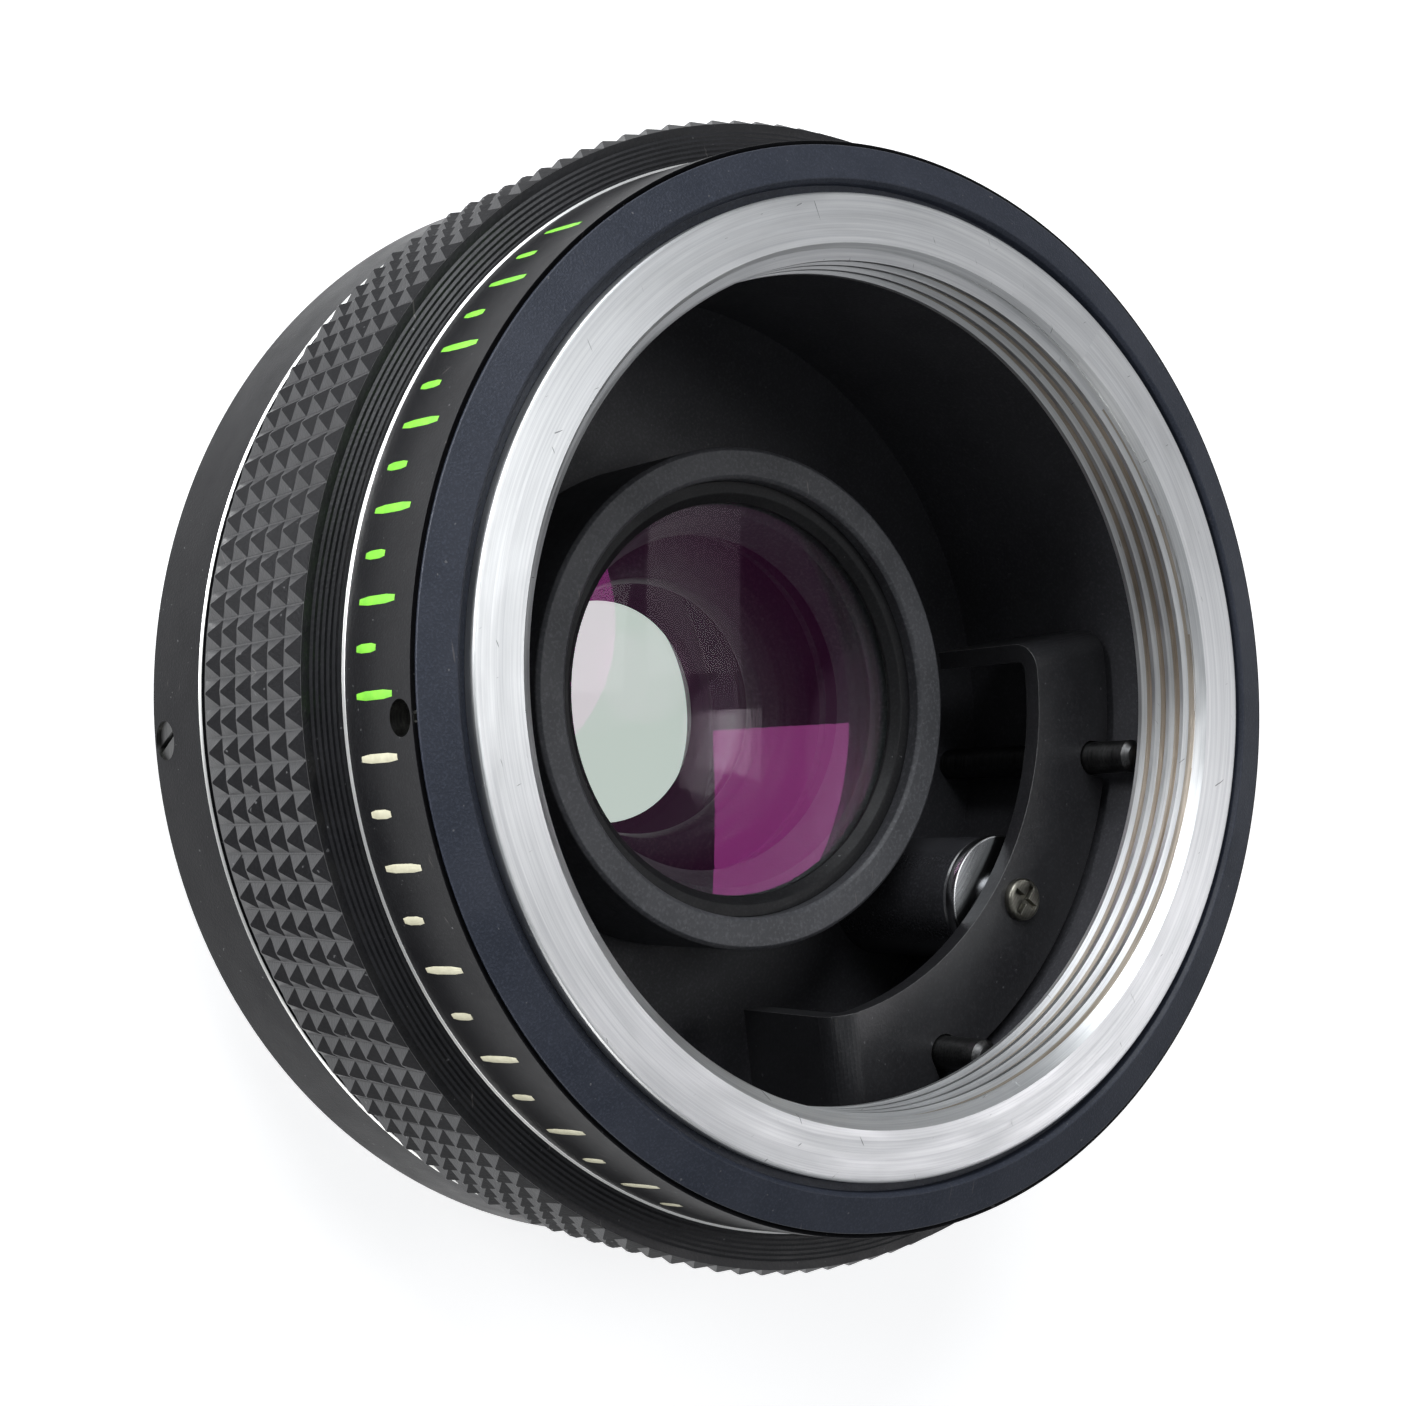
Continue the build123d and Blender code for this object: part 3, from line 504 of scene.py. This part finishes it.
def refine(node, material, edge=0.05, body="barrel", edge_material=None):
    """Copy of a CAD node with small rounded edges, standing for the node."""
    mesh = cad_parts[node].data.copy()
    mesh.materials.clear()
    mesh.materials.append(MATERIALS[material])
    obj = bpy.data.objects.new(node + "_finish", mesh)
    bpy.context.scene.collection.objects.link(obj)
    tidy_mesh(obj, 0.001)
    for face in obj.data.polygons:
        face.material_index = 0
    if edge:
        bevel = obj.modifiers.new("edge", "BEVEL")
        bevel.width = edge * MM
        bevel.segments = 2
        bevel.limit_method = "ANGLE"
        bevel.angle_limit = math.radians(35)
        if edge_material:
            mesh.materials.append(MATERIALS[edge_material])
            bevel.material = 1
    soften(obj)
    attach(obj, body)
    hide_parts(node)
    return obj


# ---------------------------------------------------------------- threads

def thread_places(steps=20):
    """Places of the mesh rows along one pitch, as shares of it: even steps and the profile's corners."""
    return sorted({round(k / steps, 4) for k in range(steps)} | {c[0] for c in THREAD_PROFILE[:-1]})


def thread_depth(share):
    """Depth of the thread at any share of a pitch."""
    share %= 1.0
    for (a, depth_a), (b, depth_b) in zip(THREAD_PROFILE, THREAD_PROFILE[1:]):
        if share <= b:
            return depth_a + (depth_b - depth_a) * (share - a) / (b - a)
    return 0.0


def threaded_wall(low, high, radius_at, segments=ROUND):
    """Points and faces of a right-handed threaded wall, with the lists of its bottom and top edge.

    radius_at takes a height and the depth of the thread there, and returns the radius.
    """
    places = thread_places()
    turns = int((high - low) / THREAD_PITCH) + 3
    vertices, columns = [], []
    for index in range(segments + 1):
        share = index / segments
        angle = 2 * math.pi * share
        column = []
        for turn in range(-1, turns):
            for place in places:
                z = low + (turn + place + share - 1) * THREAD_PITCH
                z = min(max(z, low), high)
                depth = thread_depth((z - low) / THREAD_PITCH - share)
                radius = radius_at(z, depth)
                column.append(len(vertices))
                vertices.append((radius * math.cos(angle), radius * math.sin(angle), z))
        columns.append(column)
    faces = []
    for here, there in zip(columns, columns[1:]):
        for step in range(len(here) - 1):
            faces.append((here[step], there[step], there[step + 1], here[step + 1]))
    return vertices, faces, [c[0] for c in columns], [c[-1] for c in columns]


def close_wall(vertices, faces, bottom, top, outline):
    """Turns the rest of a ring round a threaded wall.

    outline runs from beside the wall's top edge, round the ring, to beside its bottom edge.
    """
    count = len(top)
    previous = top
    for radius, height in outline:
        row = []
        for index in range(count):
            angle = 2 * math.pi * index / (count - 1)
            row.append(len(vertices))
            vertices.append((radius * math.cos(angle), radius * math.sin(angle), height))
        for index in range(count - 1):
            faces.append((previous[index], previous[index + 1], row[index + 1], row[index]))
        previous = row
    for index in range(count - 1):
        faces.append((previous[index], previous[index + 1], bottom[index + 1], bottom[index]))


# ---------------------------------------------------------------- outer shells

def front_thread_ring():
    """Bright turned ring with the real helix of the female thread and a chamfered mouth."""
    depth_size = THREAD_MAJOR_R - THREAD_MINOR_R
    chamfer_low = FRONT_Z - MOUTH_CHAMFER

    def radius_at(z, depth):
        return max(THREAD_MINOR_R + depth * depth_size, THREAD_MINOR_R + max(0.0, z - chamfer_low))

    vertices, faces, bottom, top = threaded_wall(SEAT_Z, FRONT_Z, radius_at)
    outline = [
        (THREAD_MINOR_R + MOUTH_CHAMFER + 0.03, FRONT_Z),
        (RING_OUTER_R - 0.22, FRONT_Z),
        (RING_OUTER_R - 0.10, FRONT_Z - 0.03),
        (RING_OUTER_R - 0.03, FRONT_Z - 0.10),
        (RING_OUTER_R, FRONT_Z - 0.22),
        (RING_OUTER_R, SEAT_Z),
    ]
    close_wall(vertices, faces, bottom, top, outline)
    finishes = ["bright_aluminium", "thread_root_painted_shade"]
    obj = new_piece("front_thread_ring_finish", vertices, faces, finishes)
    # faces deep in the thread take the darker copy: painted shade in the grooves
    for face in obj.data.polygons:
        x, y, z = (c / MM for c in face.center)
        if THREAD_MINOR_R + 0.55 * depth_size < math.hypot(x, y) < THREAD_MAJOR_R + 0.05 and z < chamfer_low:
            face.material_index = 1
    soften(obj, 25)
    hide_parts("front_thread_ring")


def front_trim_ring():
    """Black ring with a shallow conical face, drilled for the front grub screws."""
    outline = rounded(
        [
            (RING_OUTER_R, SEAT_Z),
            (TRIM_SKIRT_R, SEAT_Z),
            (TRIM_SKIRT_R, TRIM_LIP_Z),
            (TRIM_OUTER_R, TRIM_LIP_Z + 0.04),
            (TRIM_OUTER_R, TRIM_LIP_Z + EDGE_BREAK),
            (TRIM_INNER_R + EDGE_BREAK, FRONT_Z - TRIM_DROP),
            (TRIM_INNER_R, FRONT_Z - TRIM_DROP - EDGE_BREAK),
            (TRIM_INNER_R, GAP_FLOOR_Z),
            (RING_OUTER_R, GAP_FLOOR_Z),
        ],
        0.06,
    )
    obj = lathe("front_trim_ring_finish", outline, "trim_black")
    drill(obj, FRONT_GRUB_Z, FRONT_GRUB_R, RING_OUTER_R - HOLE_START, RING_OUTER_R + 4)
    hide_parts("front_trim_ring")


def name_radius(z):
    """Outside radius of the name ring at a height."""
    share = (z - GRIP_FRONT_Z) / (NAME_FRONT_Z - GRIP_FRONT_Z)
    return NAME_REAR_R + (NAME_FRONT_R - NAME_REAR_R) * share


def name_ring():
    """Slightly conical black sleeve with a bright line cut round its rear edge."""
    outline = rounded(
        [
            (BODY_R, GRIP_FRONT_Z),
            (NAME_REAR_R, GRIP_FRONT_Z),
            (BRIGHT_LINE_R, GRIP_FRONT_Z + 0.05),
            (BRIGHT_LINE_R, GRIP_FRONT_Z + 0.08),
            (name_radius(BRIGHT_LINE_TOP_Z), BRIGHT_LINE_TOP_Z),
            (NAME_FRONT_R, NAME_FRONT_Z),
            (NAME_FRONT_R - EDGE_BREAK, TRIM_LIP_Z - LIP_GAP),
            (TRIM_SKIRT_R, TRIM_LIP_Z - LIP_GAP),
            (TRIM_SKIRT_R, SEAT_Z),
            (BODY_R, SEAT_Z),
        ],
        0.03,
    )
    line = ("bright_cut", lambda r, z: r > NAME_REAR_R - 0.05 and z < BRIGHT_LINE_TOP_Z)
    obj = lathe("name_ring_finish", outline, "satin_black", paints=[line])
    drill(obj, FRONT_GRUB_Z, FRONT_GRUB_R, TRIM_SKIRT_R - HOLE_START, TRIM_SKIRT_R + 2)
    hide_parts("name_ring")


def ring_marks(name, material, start, end, step, low=23.4, high=26.2):
    """Plain ticks of two lengths round the name ring, in place of lettering.

    start, end and step are angles in degrees, low and high are the heights of a long tick's ends.
    """
    vertices, faces = [], []
    half_width = 0.24
    proud = 0.025
    sunk = -0.02
    short_tick = 0.55
    narrowing = 0.7
    count = int((end - start) / step) + 1
    for number in range(count):
        middle = math.radians(start + number * step)
        top = high if number % 2 == 0 else low + short_tick * (high - low)
        rows = [low + (top - low) * k / 4 for k in range(5)]
        spans = (-1.0, -0.6, 0.0, 0.6, 1.0)
        base = len(vertices)
        for row, z in enumerate(rows):
            narrow = narrowing if row in (0, 4) else 1.0
            for span in spans:
                angle = middle + span * narrow * half_width / name_radius(z)
                lift = sunk if abs(span) == 1.0 else proud
                radius = name_radius(z) + (lift if 0 < row < 4 else min(lift, 0.01))
                vertices.append((radius * math.cos(angle), radius * math.sin(angle), z))
        for row in range(4):
            for column in range(4):
                corner = base + row * 5 + column
                faces.append((corner, corner + 1, corner + 6, corner + 5))
    obj = new_piece(name, vertices, faces, [material])
    soften(obj, 60)


def grip_ring():
    """Turned body of the grip, with fine rings on its front shoulder."""
    steps = 12
    ridge = 0.042
    shoulder_rise = 0.22
    outer = GRIP_ROOT_R - 0.05
    inner = NAME_REAR_R + 0.10
    shoulder = []
    for step in range(steps + 1):
        share = step / steps
        radius = outer + (inner - outer) * share
        height = KNURL_HIGH_Z + shoulder_rise * share - (ridge if step % 2 else 0.0)
        shoulder.append((radius, height))
    knurl_floor_r = KNURL_ROOT_R - 0.01
    outline = [
        (BODY_R, GRIP_REAR_Z),
        (GRIP_ROOT_R - EDGE_BREAK, GRIP_REAR_Z),
        (GRIP_ROOT_R - 0.05, GRIP_REAR_Z + 0.06),
        (GRIP_ROOT_R, GRIP_REAR_Z + EDGE_BREAK),
        (GRIP_ROOT_R, KNURL_LOW_Z - 0.30),
        (knurl_floor_r, KNURL_LOW_Z - 0.10),
        (knurl_floor_r, KNURL_HIGH_Z + 0.02),
        *shoulder,
        (BODY_R, GRIP_FRONT_Z),
    ]
    body = lathe("grip_ring_finish", outline, "knurl_black")
    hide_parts("grip_ring")


def grip_knurl():
    """Six rows of pyramids round the grip, each with its tip worn a little differently.

    The front facet of each pyramid gets a darker, less glossy copy of the black finish: painted shade.
    """
    row_size = (KNURL_HIGH_Z - KNURL_LOW_Z) / KNURL_ROWS
    cell = 2 * math.pi / KNURL_AROUND
    groove = 0.045  # half the width of the groove between two pyramids
    flat = 0.05  # half the width of a worn tip
    wear = 0.03
    front_facet = 2
    vertices, faces, finishes = [], [], []

    def point(radius, angle, z):
        vertices.append((radius * math.cos(angle), radius * math.sin(angle), z))
        return len(vertices) - 1

    for around in range(KNURL_AROUND):
        left = around * cell + groove / KNURL_ROOT_R
        right = (around + 1) * cell - groove / KNURL_ROOT_R
        middle = (around + 0.5) * cell
        for row in range(KNURL_ROWS):
            low = KNURL_LOW_Z + row * row_size + groove
            high = low + row_size - 2 * groove
            centre = (low + high) / 2
            tip_r = KNURL_TIP_R - random.uniform(0.0, wear)
            corners = ((left, low), (right, low), (right, high), (left, high))
            base = [point(KNURL_ROOT_R, a, z) for a, z in corners]
            turn = flat / KNURL_TIP_R
            tip = [
                point(tip_r, middle + a * turn, centre + z * flat)
                for a, z in ((-1, -1), (1, -1), (1, 1), (-1, 1))
            ]
            for k in range(4):
                faces.append((base[k], base[(k + 1) % 4], tip[(k + 1) % 4], tip[k]))
                # the front facet takes the darker copy: painted shade
                finishes.append(1 if k == front_facet else 0)
            faces.append(tuple(tip))
            finishes.append(0)
    mesh = bpy.data.meshes.new("knurl")
    mesh.from_pydata([tuple(c * MM for c in v) for v in vertices], [], faces)
    mesh.materials.append(MATERIALS["knurl_black"])
    mesh.materials.append(MATERIALS["knurl_painted_shade"])
    for face, finish in zip(mesh.polygons, finishes):
        face.material_index = finish
    knurl = bpy.data.objects.new("grip_knurl", mesh)
    bpy.context.scene.collection.objects.link(knurl)
    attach(knurl, "barrel")


def rear_ring():
    """Rear sleeve with a bright line cut round its front edge, drilled for three grub screws."""
    outline = rounded(
        [
            (BODY_R, BODY_REAR_Z),
            (REAR_RING_R - EDGE_BREAK, BODY_REAR_Z),
            (REAR_RING_R, BODY_REAR_Z + EDGE_BREAK),
            (REAR_RING_FRONT_R + 0.01, REAR_RING_FRONT_Z - BRIGHT_CUT),
            (REAR_RING_FRONT_R - BRIGHT_CUT, REAR_RING_FRONT_Z),
            (BODY_R, REAR_RING_FRONT_Z),
        ],
        0.03,
    )
    line_r = REAR_RING_FRONT_R - BRIGHT_CUT - 0.01
    line_z = REAR_RING_FRONT_Z - BRIGHT_CUT
    line = ("bright_cut", lambda r, z: r > line_r and z > line_z)
    obj = lathe("rear_ring_finish", outline, "rear_black", paints=[line])
    drill(obj, REAR_GRUB_Z, REAR_GRUB_R, BODY_R - HOLE_START, BODY_R + 4.5)
    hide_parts("rear_ring")


# ---------------------------------------------------------------- rear mount

def rear_mount_ring():
    """Flange with the real helix of the male thread, a plain neck and four countersunk holes."""
    root_depth = EXTERNAL_THREAD_DEPTH * THREAD_PITCH
    lead = 0.40

    def radius_at(z, depth):
        return min(THREAD_MAJOR_R - depth * root_depth, THREAD_MAJOR_R - lead + z)

    vertices, faces, bottom, top = threaded_wall(0.0, FLANGE_Z - RELIEF_W, radius_at)
    neck = THREAD_MAJOR_R - root_depth - 0.02
    outline = [
        (neck, FLANGE_Z - RELIEF_W),
        (neck, FLANGE_Z),
        (BODY_R - EDGE_BREAK, FLANGE_Z),
        (BODY_R - 0.05, FLANGE_Z + 0.05),
        (BODY_R, FLANGE_Z + EDGE_BREAK),
        (BODY_R, BODY_REAR_Z),
        (MOUNT_BORE_R, BODY_REAR_Z),
        (MOUNT_BORE_R, 0.10),
        (MOUNT_BORE_R + 0.10, 0.0),
    ]
    close_wall(vertices, faces, bottom, top, outline)
    obj = new_piece("rear_mount_ring_finish", vertices, faces, ["chrome"])
    soften(obj, 25)
    countersink(obj)
    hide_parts("rear_mount_ring")


def countersink(obj):
    """Cuts the four countersunk screw holes of the flange."""
    obj.modifiers.clear()
    wide, narrow, depth = COUNTERSINK_R * MM, MOUNT_SCREW_R * MM, COUNTERSINK_DEPTH * MM
    overlap = 0.0005 * MM
    cutters = []
    for number in range(MOUNT_SCREW_COUNT):
        angle = math.radians(45 + 360 / MOUNT_SCREW_COUNT * number)
        bm = bmesh.new()
        bmesh.ops.create_cone(bm, cap_ends=True, segments=48, radius1=wide, radius2=narrow, depth=depth)
        bmesh.ops.translate(bm, verts=bm.verts, vec=(0, 0, depth / 2 - overlap))
        mesh = bpy.data.meshes.new("sink")
        bm.to_mesh(mesh)
        bm.free()
        mesh.materials.append(MATERIALS["chrome"])
        cutter = bpy.data.objects.new("sink", mesh)
        bpy.context.scene.collection.objects.link(cutter)
        x, y = MOUNT_SCREW_RING_R * math.cos(angle), MOUNT_SCREW_RING_R * math.sin(angle)
        cutter.location = Vector((x, y, FLANGE_Z - 0.01)) * MM
        cutters.append(cutter)
    for cutter in cutters:
        cut = obj.modifiers.new("sink", "BOOLEAN")
        cut.operation = "DIFFERENCE"
        cut.solver = "EXACT"
        cut.object = cutter
    bpy.context.view_layer.update()
    baked(obj)
    for cutter in cutters:
        bpy.data.objects.remove(cutter)
    soften(obj, 25)


# ---------------------------------------------------------------- housing and lens cell

def inner_housing():
    """Matt black cup, from its CAD node."""
    refine("inner_housing", "matt_black", 0.06)


def surface_z(vertex, curve, radius, facing):
    """Height of a lens surface at a radius; facing is 1 in front and -1 behind."""
    depth = abs(curve) - math.sqrt(curve**2 - radius**2)
    return vertex - facing * depth if curve > 0 else vertex + facing * depth


def lens(name):
    """Lens with true spherical faces and a blackened rim."""
    rim, front, rear, front_curve, rear_curve = LENSES[name]
    rings, segments = 28, 160
    outline = []
    for k in range(rings + 1):
        radius = rim * k / rings
        outline.append((radius, surface_z(front, front_curve, radius, 1)))
    for k in range(rings, -1, -1):
        radius = rim * k / rings
        outline.append((radius, surface_z(rear, rear_curve, radius, -1)))
    vertices, faces, columns = [], [], []
    for index in range(segments):
        angle = 2 * math.pi * index / segments
        column = []
        for radius, height in outline:
            column.append(len(vertices))
            vertices.append((radius * math.cos(angle), radius * math.sin(angle), height))
        columns.append(column)
    for index in range(segments):
        here, there = columns[index], columns[(index + 1) % segments]
        for step in range(len(outline) - 1):
            faces.append((here[step], there[step], there[step + 1], here[step + 1]))
    coats = ["front_glass", "clear_coat_glass"] if name == "lens_1" else ["inner_glass", "inner_glass"]
    obj = new_piece(name + "_finish", vertices, faces, [*coats, "matt_black"])
    for face in obj.data.polygons:
        x, y, z = (c / MM for c in face.center)
        if math.hypot(x, y) > rim - 0.01:
            face.material_index = 2
        elif z < 0.5 * (front + rear):
            face.material_index = 1
    obj.data.shade_smooth()
    obj.data.set_sharp_from_angle(angle=math.radians(28))
    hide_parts(name)


# ---------------------------------------------------------------- aperture coupling

def guide_sleeve():
    """Smooth turned sleeve with a thin cap that guides the pin."""
    outline = rounded(
        [
            (SLEEVE_BORE_R, SLEEVE_FOOT_Z),
            (SLEEVE_SPIGOT_R, SLEEVE_FOOT_Z),
            (SLEEVE_SPIGOT_R, FLOOR_Z),
            (SLEEVE_R, FLOOR_Z),
            (SLEEVE_R, SLEEVE_TOP_Z - 0.15),
            (SLEEVE_R - 0.15, SLEEVE_TOP_Z),
            (SLEEVE_CAP_BORE_R, SLEEVE_TOP_Z),
            (SLEEVE_CAP_BORE_R, SLEEVE_TOP_Z - SLEEVE_CAP_T),
            (SLEEVE_BORE_R, SLEEVE_TOP_Z - SLEEVE_CAP_T),
        ],
        0.03,
    )
    obj = lathe("guide_sleeve_finish", outline, "sleeve_black", (0.0, PIN_R), 128)
    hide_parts("guide_sleeve")


def aperture_pin():
    """Chrome pin: rounded tip, groove for the clip, round head and the tapped boss behind the plate."""
    tip = [
        (PIN_ROD_R - PIN_TIP_FILLET * (1 - math.sin(a)), PIN_TIP_Z + PIN_TIP_FILLET * (1 - math.cos(a)))
        for a in (math.radians(15 * k) for k in range(7))
    ]
    head_front_z = PIN_HEAD_REAR_Z + PIN_HEAD_T
    core = 0.002  # the outline stays off the axis, so that no face is empty
    outline = [
        (core, PIN_TIP_Z),
        *tip,
        (PIN_ROD_R, CLIP_Z),
        (CLIP_GROOVE_R, CLIP_Z),
        (CLIP_GROOVE_R, CLIP_Z + CLIP_T),
        (PIN_ROD_R, CLIP_Z + CLIP_T),
        (PIN_ROD_R, PIN_HEAD_REAR_Z),
        (PIN_HEAD_R - 0.08, PIN_HEAD_REAR_Z),
        (PIN_HEAD_R, PIN_HEAD_REAR_Z + 0.08),
        (PIN_HEAD_R, head_front_z - 0.10),
        (PIN_HEAD_R - 0.03, head_front_z - 0.03),
        (PIN_HEAD_R - 0.10, head_front_z),
        (PIN_BOSS_R, head_front_z),
        (PIN_BOSS_R, PIN_FRONT_Z),
        (PLATE_SCREW_R, PIN_FRONT_Z),
        (PLATE_SCREW_R, PIN_FRONT_Z - TAP_DEPTH),
        (core, PIN_FRONT_Z - TAP_DEPTH),
    ]
    # the front face of the head takes the darker copy of the chrome: painted shade
    face = ("pin_face_painted_shade", lambda r, z: abs(z - head_front_z) < 0.001)
    obj = lathe(
        "aperture_pin_finish", outline, "chrome", (0.0, PIN_R), 128, "aperture_coupling", [face]
    )
    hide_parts("aperture_pin")


def return_spring():
    """Coil spring inside the sleeve, which shortens as the coupling rises."""
    steps, sides = 28 * SPRING_TURNS, 10
    vertices, faces = [], []
    for step in range(steps + 1):
        share = step / steps
        angle = 2 * math.pi * SPRING_TURNS * share
        z = SPRING_LOW_Z + (SPRING_HIGH_Z - SPRING_LOW_Z) * share
        for side in range(sides):
            turn = 2 * math.pi * side / sides
            radius = SPRING_MEAN_R + SPRING_WIRE_R * math.cos(turn)
            height = z + SPRING_WIRE_R * math.sin(turn)
            vertices.append((radius * math.cos(angle), PIN_R + radius * math.sin(angle), height))
    for step in range(steps):
        for side in range(sides):
            a = step * sides + side
            b = step * sides + (side + 1) % sides
            faces.append((a, b, b + sides, a + sides))
    faces.append(tuple(range(sides)))
    faces.append(tuple(range(steps * sides, (steps + 1) * sides)))
    obj = new_piece("return_spring_finish", vertices, faces, ["steel"])
    obj.data.shade_smooth()
    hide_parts("return_spring")
    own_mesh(obj)


# ---------------------------------------------------------------- stage

def pale_floor():
    """Pale light table: a plain square that gives off a little light."""
    half = 3.0
    mesh = bpy.data.meshes.new("floor")
    corners = [(-half, -half, 0), (half, -half, 0), (half, half, 0), (-half, half, 0)]
    mesh.from_pydata(corners, [], [(0, 1, 2, 3)])
    floor = bpy.data.objects.new("floor", mesh)
    floor.location.z = -0.00002  # just under the end of the rear thread
    bpy.context.scene.collection.objects.link(floor)
    n = Nodes("pale_floor")
    n.shader.inputs["Base Color"].default_value = (0.86, 0.86, 0.86, 1.0)
    n.shader.inputs["Roughness"].default_value = 0.8
    n.shader.inputs["Emission Color"].default_value = (1.0, 1.0, 1.0, 1.0)
    n.shader.inputs["Emission Strength"].default_value = 0.58
    mesh.materials.append(n.material)


def surroundings():
    """Even pale light from all sides."""
    world = bpy.data.worlds.new("studio")
    bpy.context.scene.world = world
    world.use_nodes = True
    world.node_tree.nodes["Background"].inputs[0].default_value = (0.93, 0.96, 1.0, 1.0)
    world.node_tree.nodes["Background"].inputs[1].default_value = 0.28


def placed(obj, right, up, back, where):
    """Puts a camera or lamp in the scene, looking against back."""
    bpy.context.scene.collection.objects.link(obj)
    turn = Matrix((right, up, back)).transposed().to_4x4()
    obj.matrix_world = Matrix.Translation(where) @ turn


def add_camera():
    """Camera in front of the mouth and to one side; returns its right, up and back directions."""
    right = Vector((-0.46982, 0.66601, 0.57939)).normalized()
    up = Vector((-0.79287, -0.60692, 0.05472)).normalized()
    back = right.cross(up).normalized()
    up = back.cross(right)
    data = bpy.data.cameras.new("camera")
    data.sensor_width = 36.0
    data.lens = 56.33
    data.clip_start = 0.005
    camera = bpy.data.objects.new("camera", data)
    placed(camera, right, up, back, Vector((46.18, -51.52, 108.3)) * MM)
    bpy.context.scene.camera = camera
    return right, up, back


# Each lamp: name, direction it shines from as shares of the camera's right, up and back, distance,
# size, power and colour.
LAMPS = (
    ("key", (-0.75, 0.50, 0.60), 0.40, 0.22, 2.2, (0.97, 0.98, 1.0)),
    ("sky", (0.10, 0.78, 0.62), 0.50, 0.34, 1.55, (0.94, 0.97, 1.0)),
    ("low", (-0.30, -0.90, 0.35), 0.45, 0.25, 0.5, (1.0, 0.99, 0.97)),
    ("panel", (0.76, 0.20, 0.61), 0.50, 0.20, 0.26, (0.98, 0.99, 1.0)),
    ("table", (0.97, -0.055, 0.24), 0.45, 0.10, 0.105, (1.0, 0.97, 1.0)),
)


def add_lamps(right, up, back):
    """Soft lamps round the object, all turned to its middle."""
    target = Vector((0, 0, 16 * MM))
    for name, (a, b, c), distance, width, power, colour in LAMPS:
        light = bpy.data.lights.new(name, "AREA")
        light.shape = "SQUARE" if name == "table" else "DISK"
        light.size = width
        light.energy = power
        light.color = colour
        away = (right * a + up * b + back * c).normalized()
        side = up.cross(away).normalized()
        placed(bpy.data.objects.new(name, light), side, away.cross(side), away, target + away * distance)


def stage():
    """Pale light table, pale surroundings, the camera and soft lamps."""
    pale_floor()
    surroundings()
    add_lamps(*add_camera())
    bpy.context.scene.view_settings.view_transform = "Standard"


# ---------------------------------------------------------------- build

front_thread_ring()
front_trim_ring()
name_ring()
ring_marks("green_marks", "green_paint", 255.6, 308.6, 4.4)
ring_marks("cream_marks", "cream_paint", 314.2, 375.0, 5.2)
grip_ring()
grip_knurl()
rear_ring()
rear_mount_ring()
inner_housing()
for lens_name in LENSES:
    lens(lens_name)
refine("lens_cell", "cell_grey", 0.05)
for ring in ("front_retaining_ring", "rear_retaining_ring", "cell_lock_ring"):
    refine(ring, "bore_black", 0.04)
for ring in ("spacer_ring_1", "spacer_ring_2"):
    refine(ring, "cell_grey", 0.04)
guide_sleeve()
refine("guide_post_a", "dark_steel", 0.10)
refine("guide_post_b", "dark_steel", 0.10)
refine("rear_mount_screws", "steel", 0.03)
refine("front_grub_screws", "steel", 0.03)
refine("rear_grub_screws", "dark_steel", 0.03)
aperture_pin()
# the plate's rounded edges take a lighter black: painted highlight along its inner edge
refine("aperture_plate", "plate_black", 0.18, "aperture_coupling", "edge_painted_highlight")
refine("plate_screw", "aged_steel", 0.03, "aperture_coupling")
refine("spring_clip", "steel", 0.0, "aperture_coupling")
return_spring()
stage()
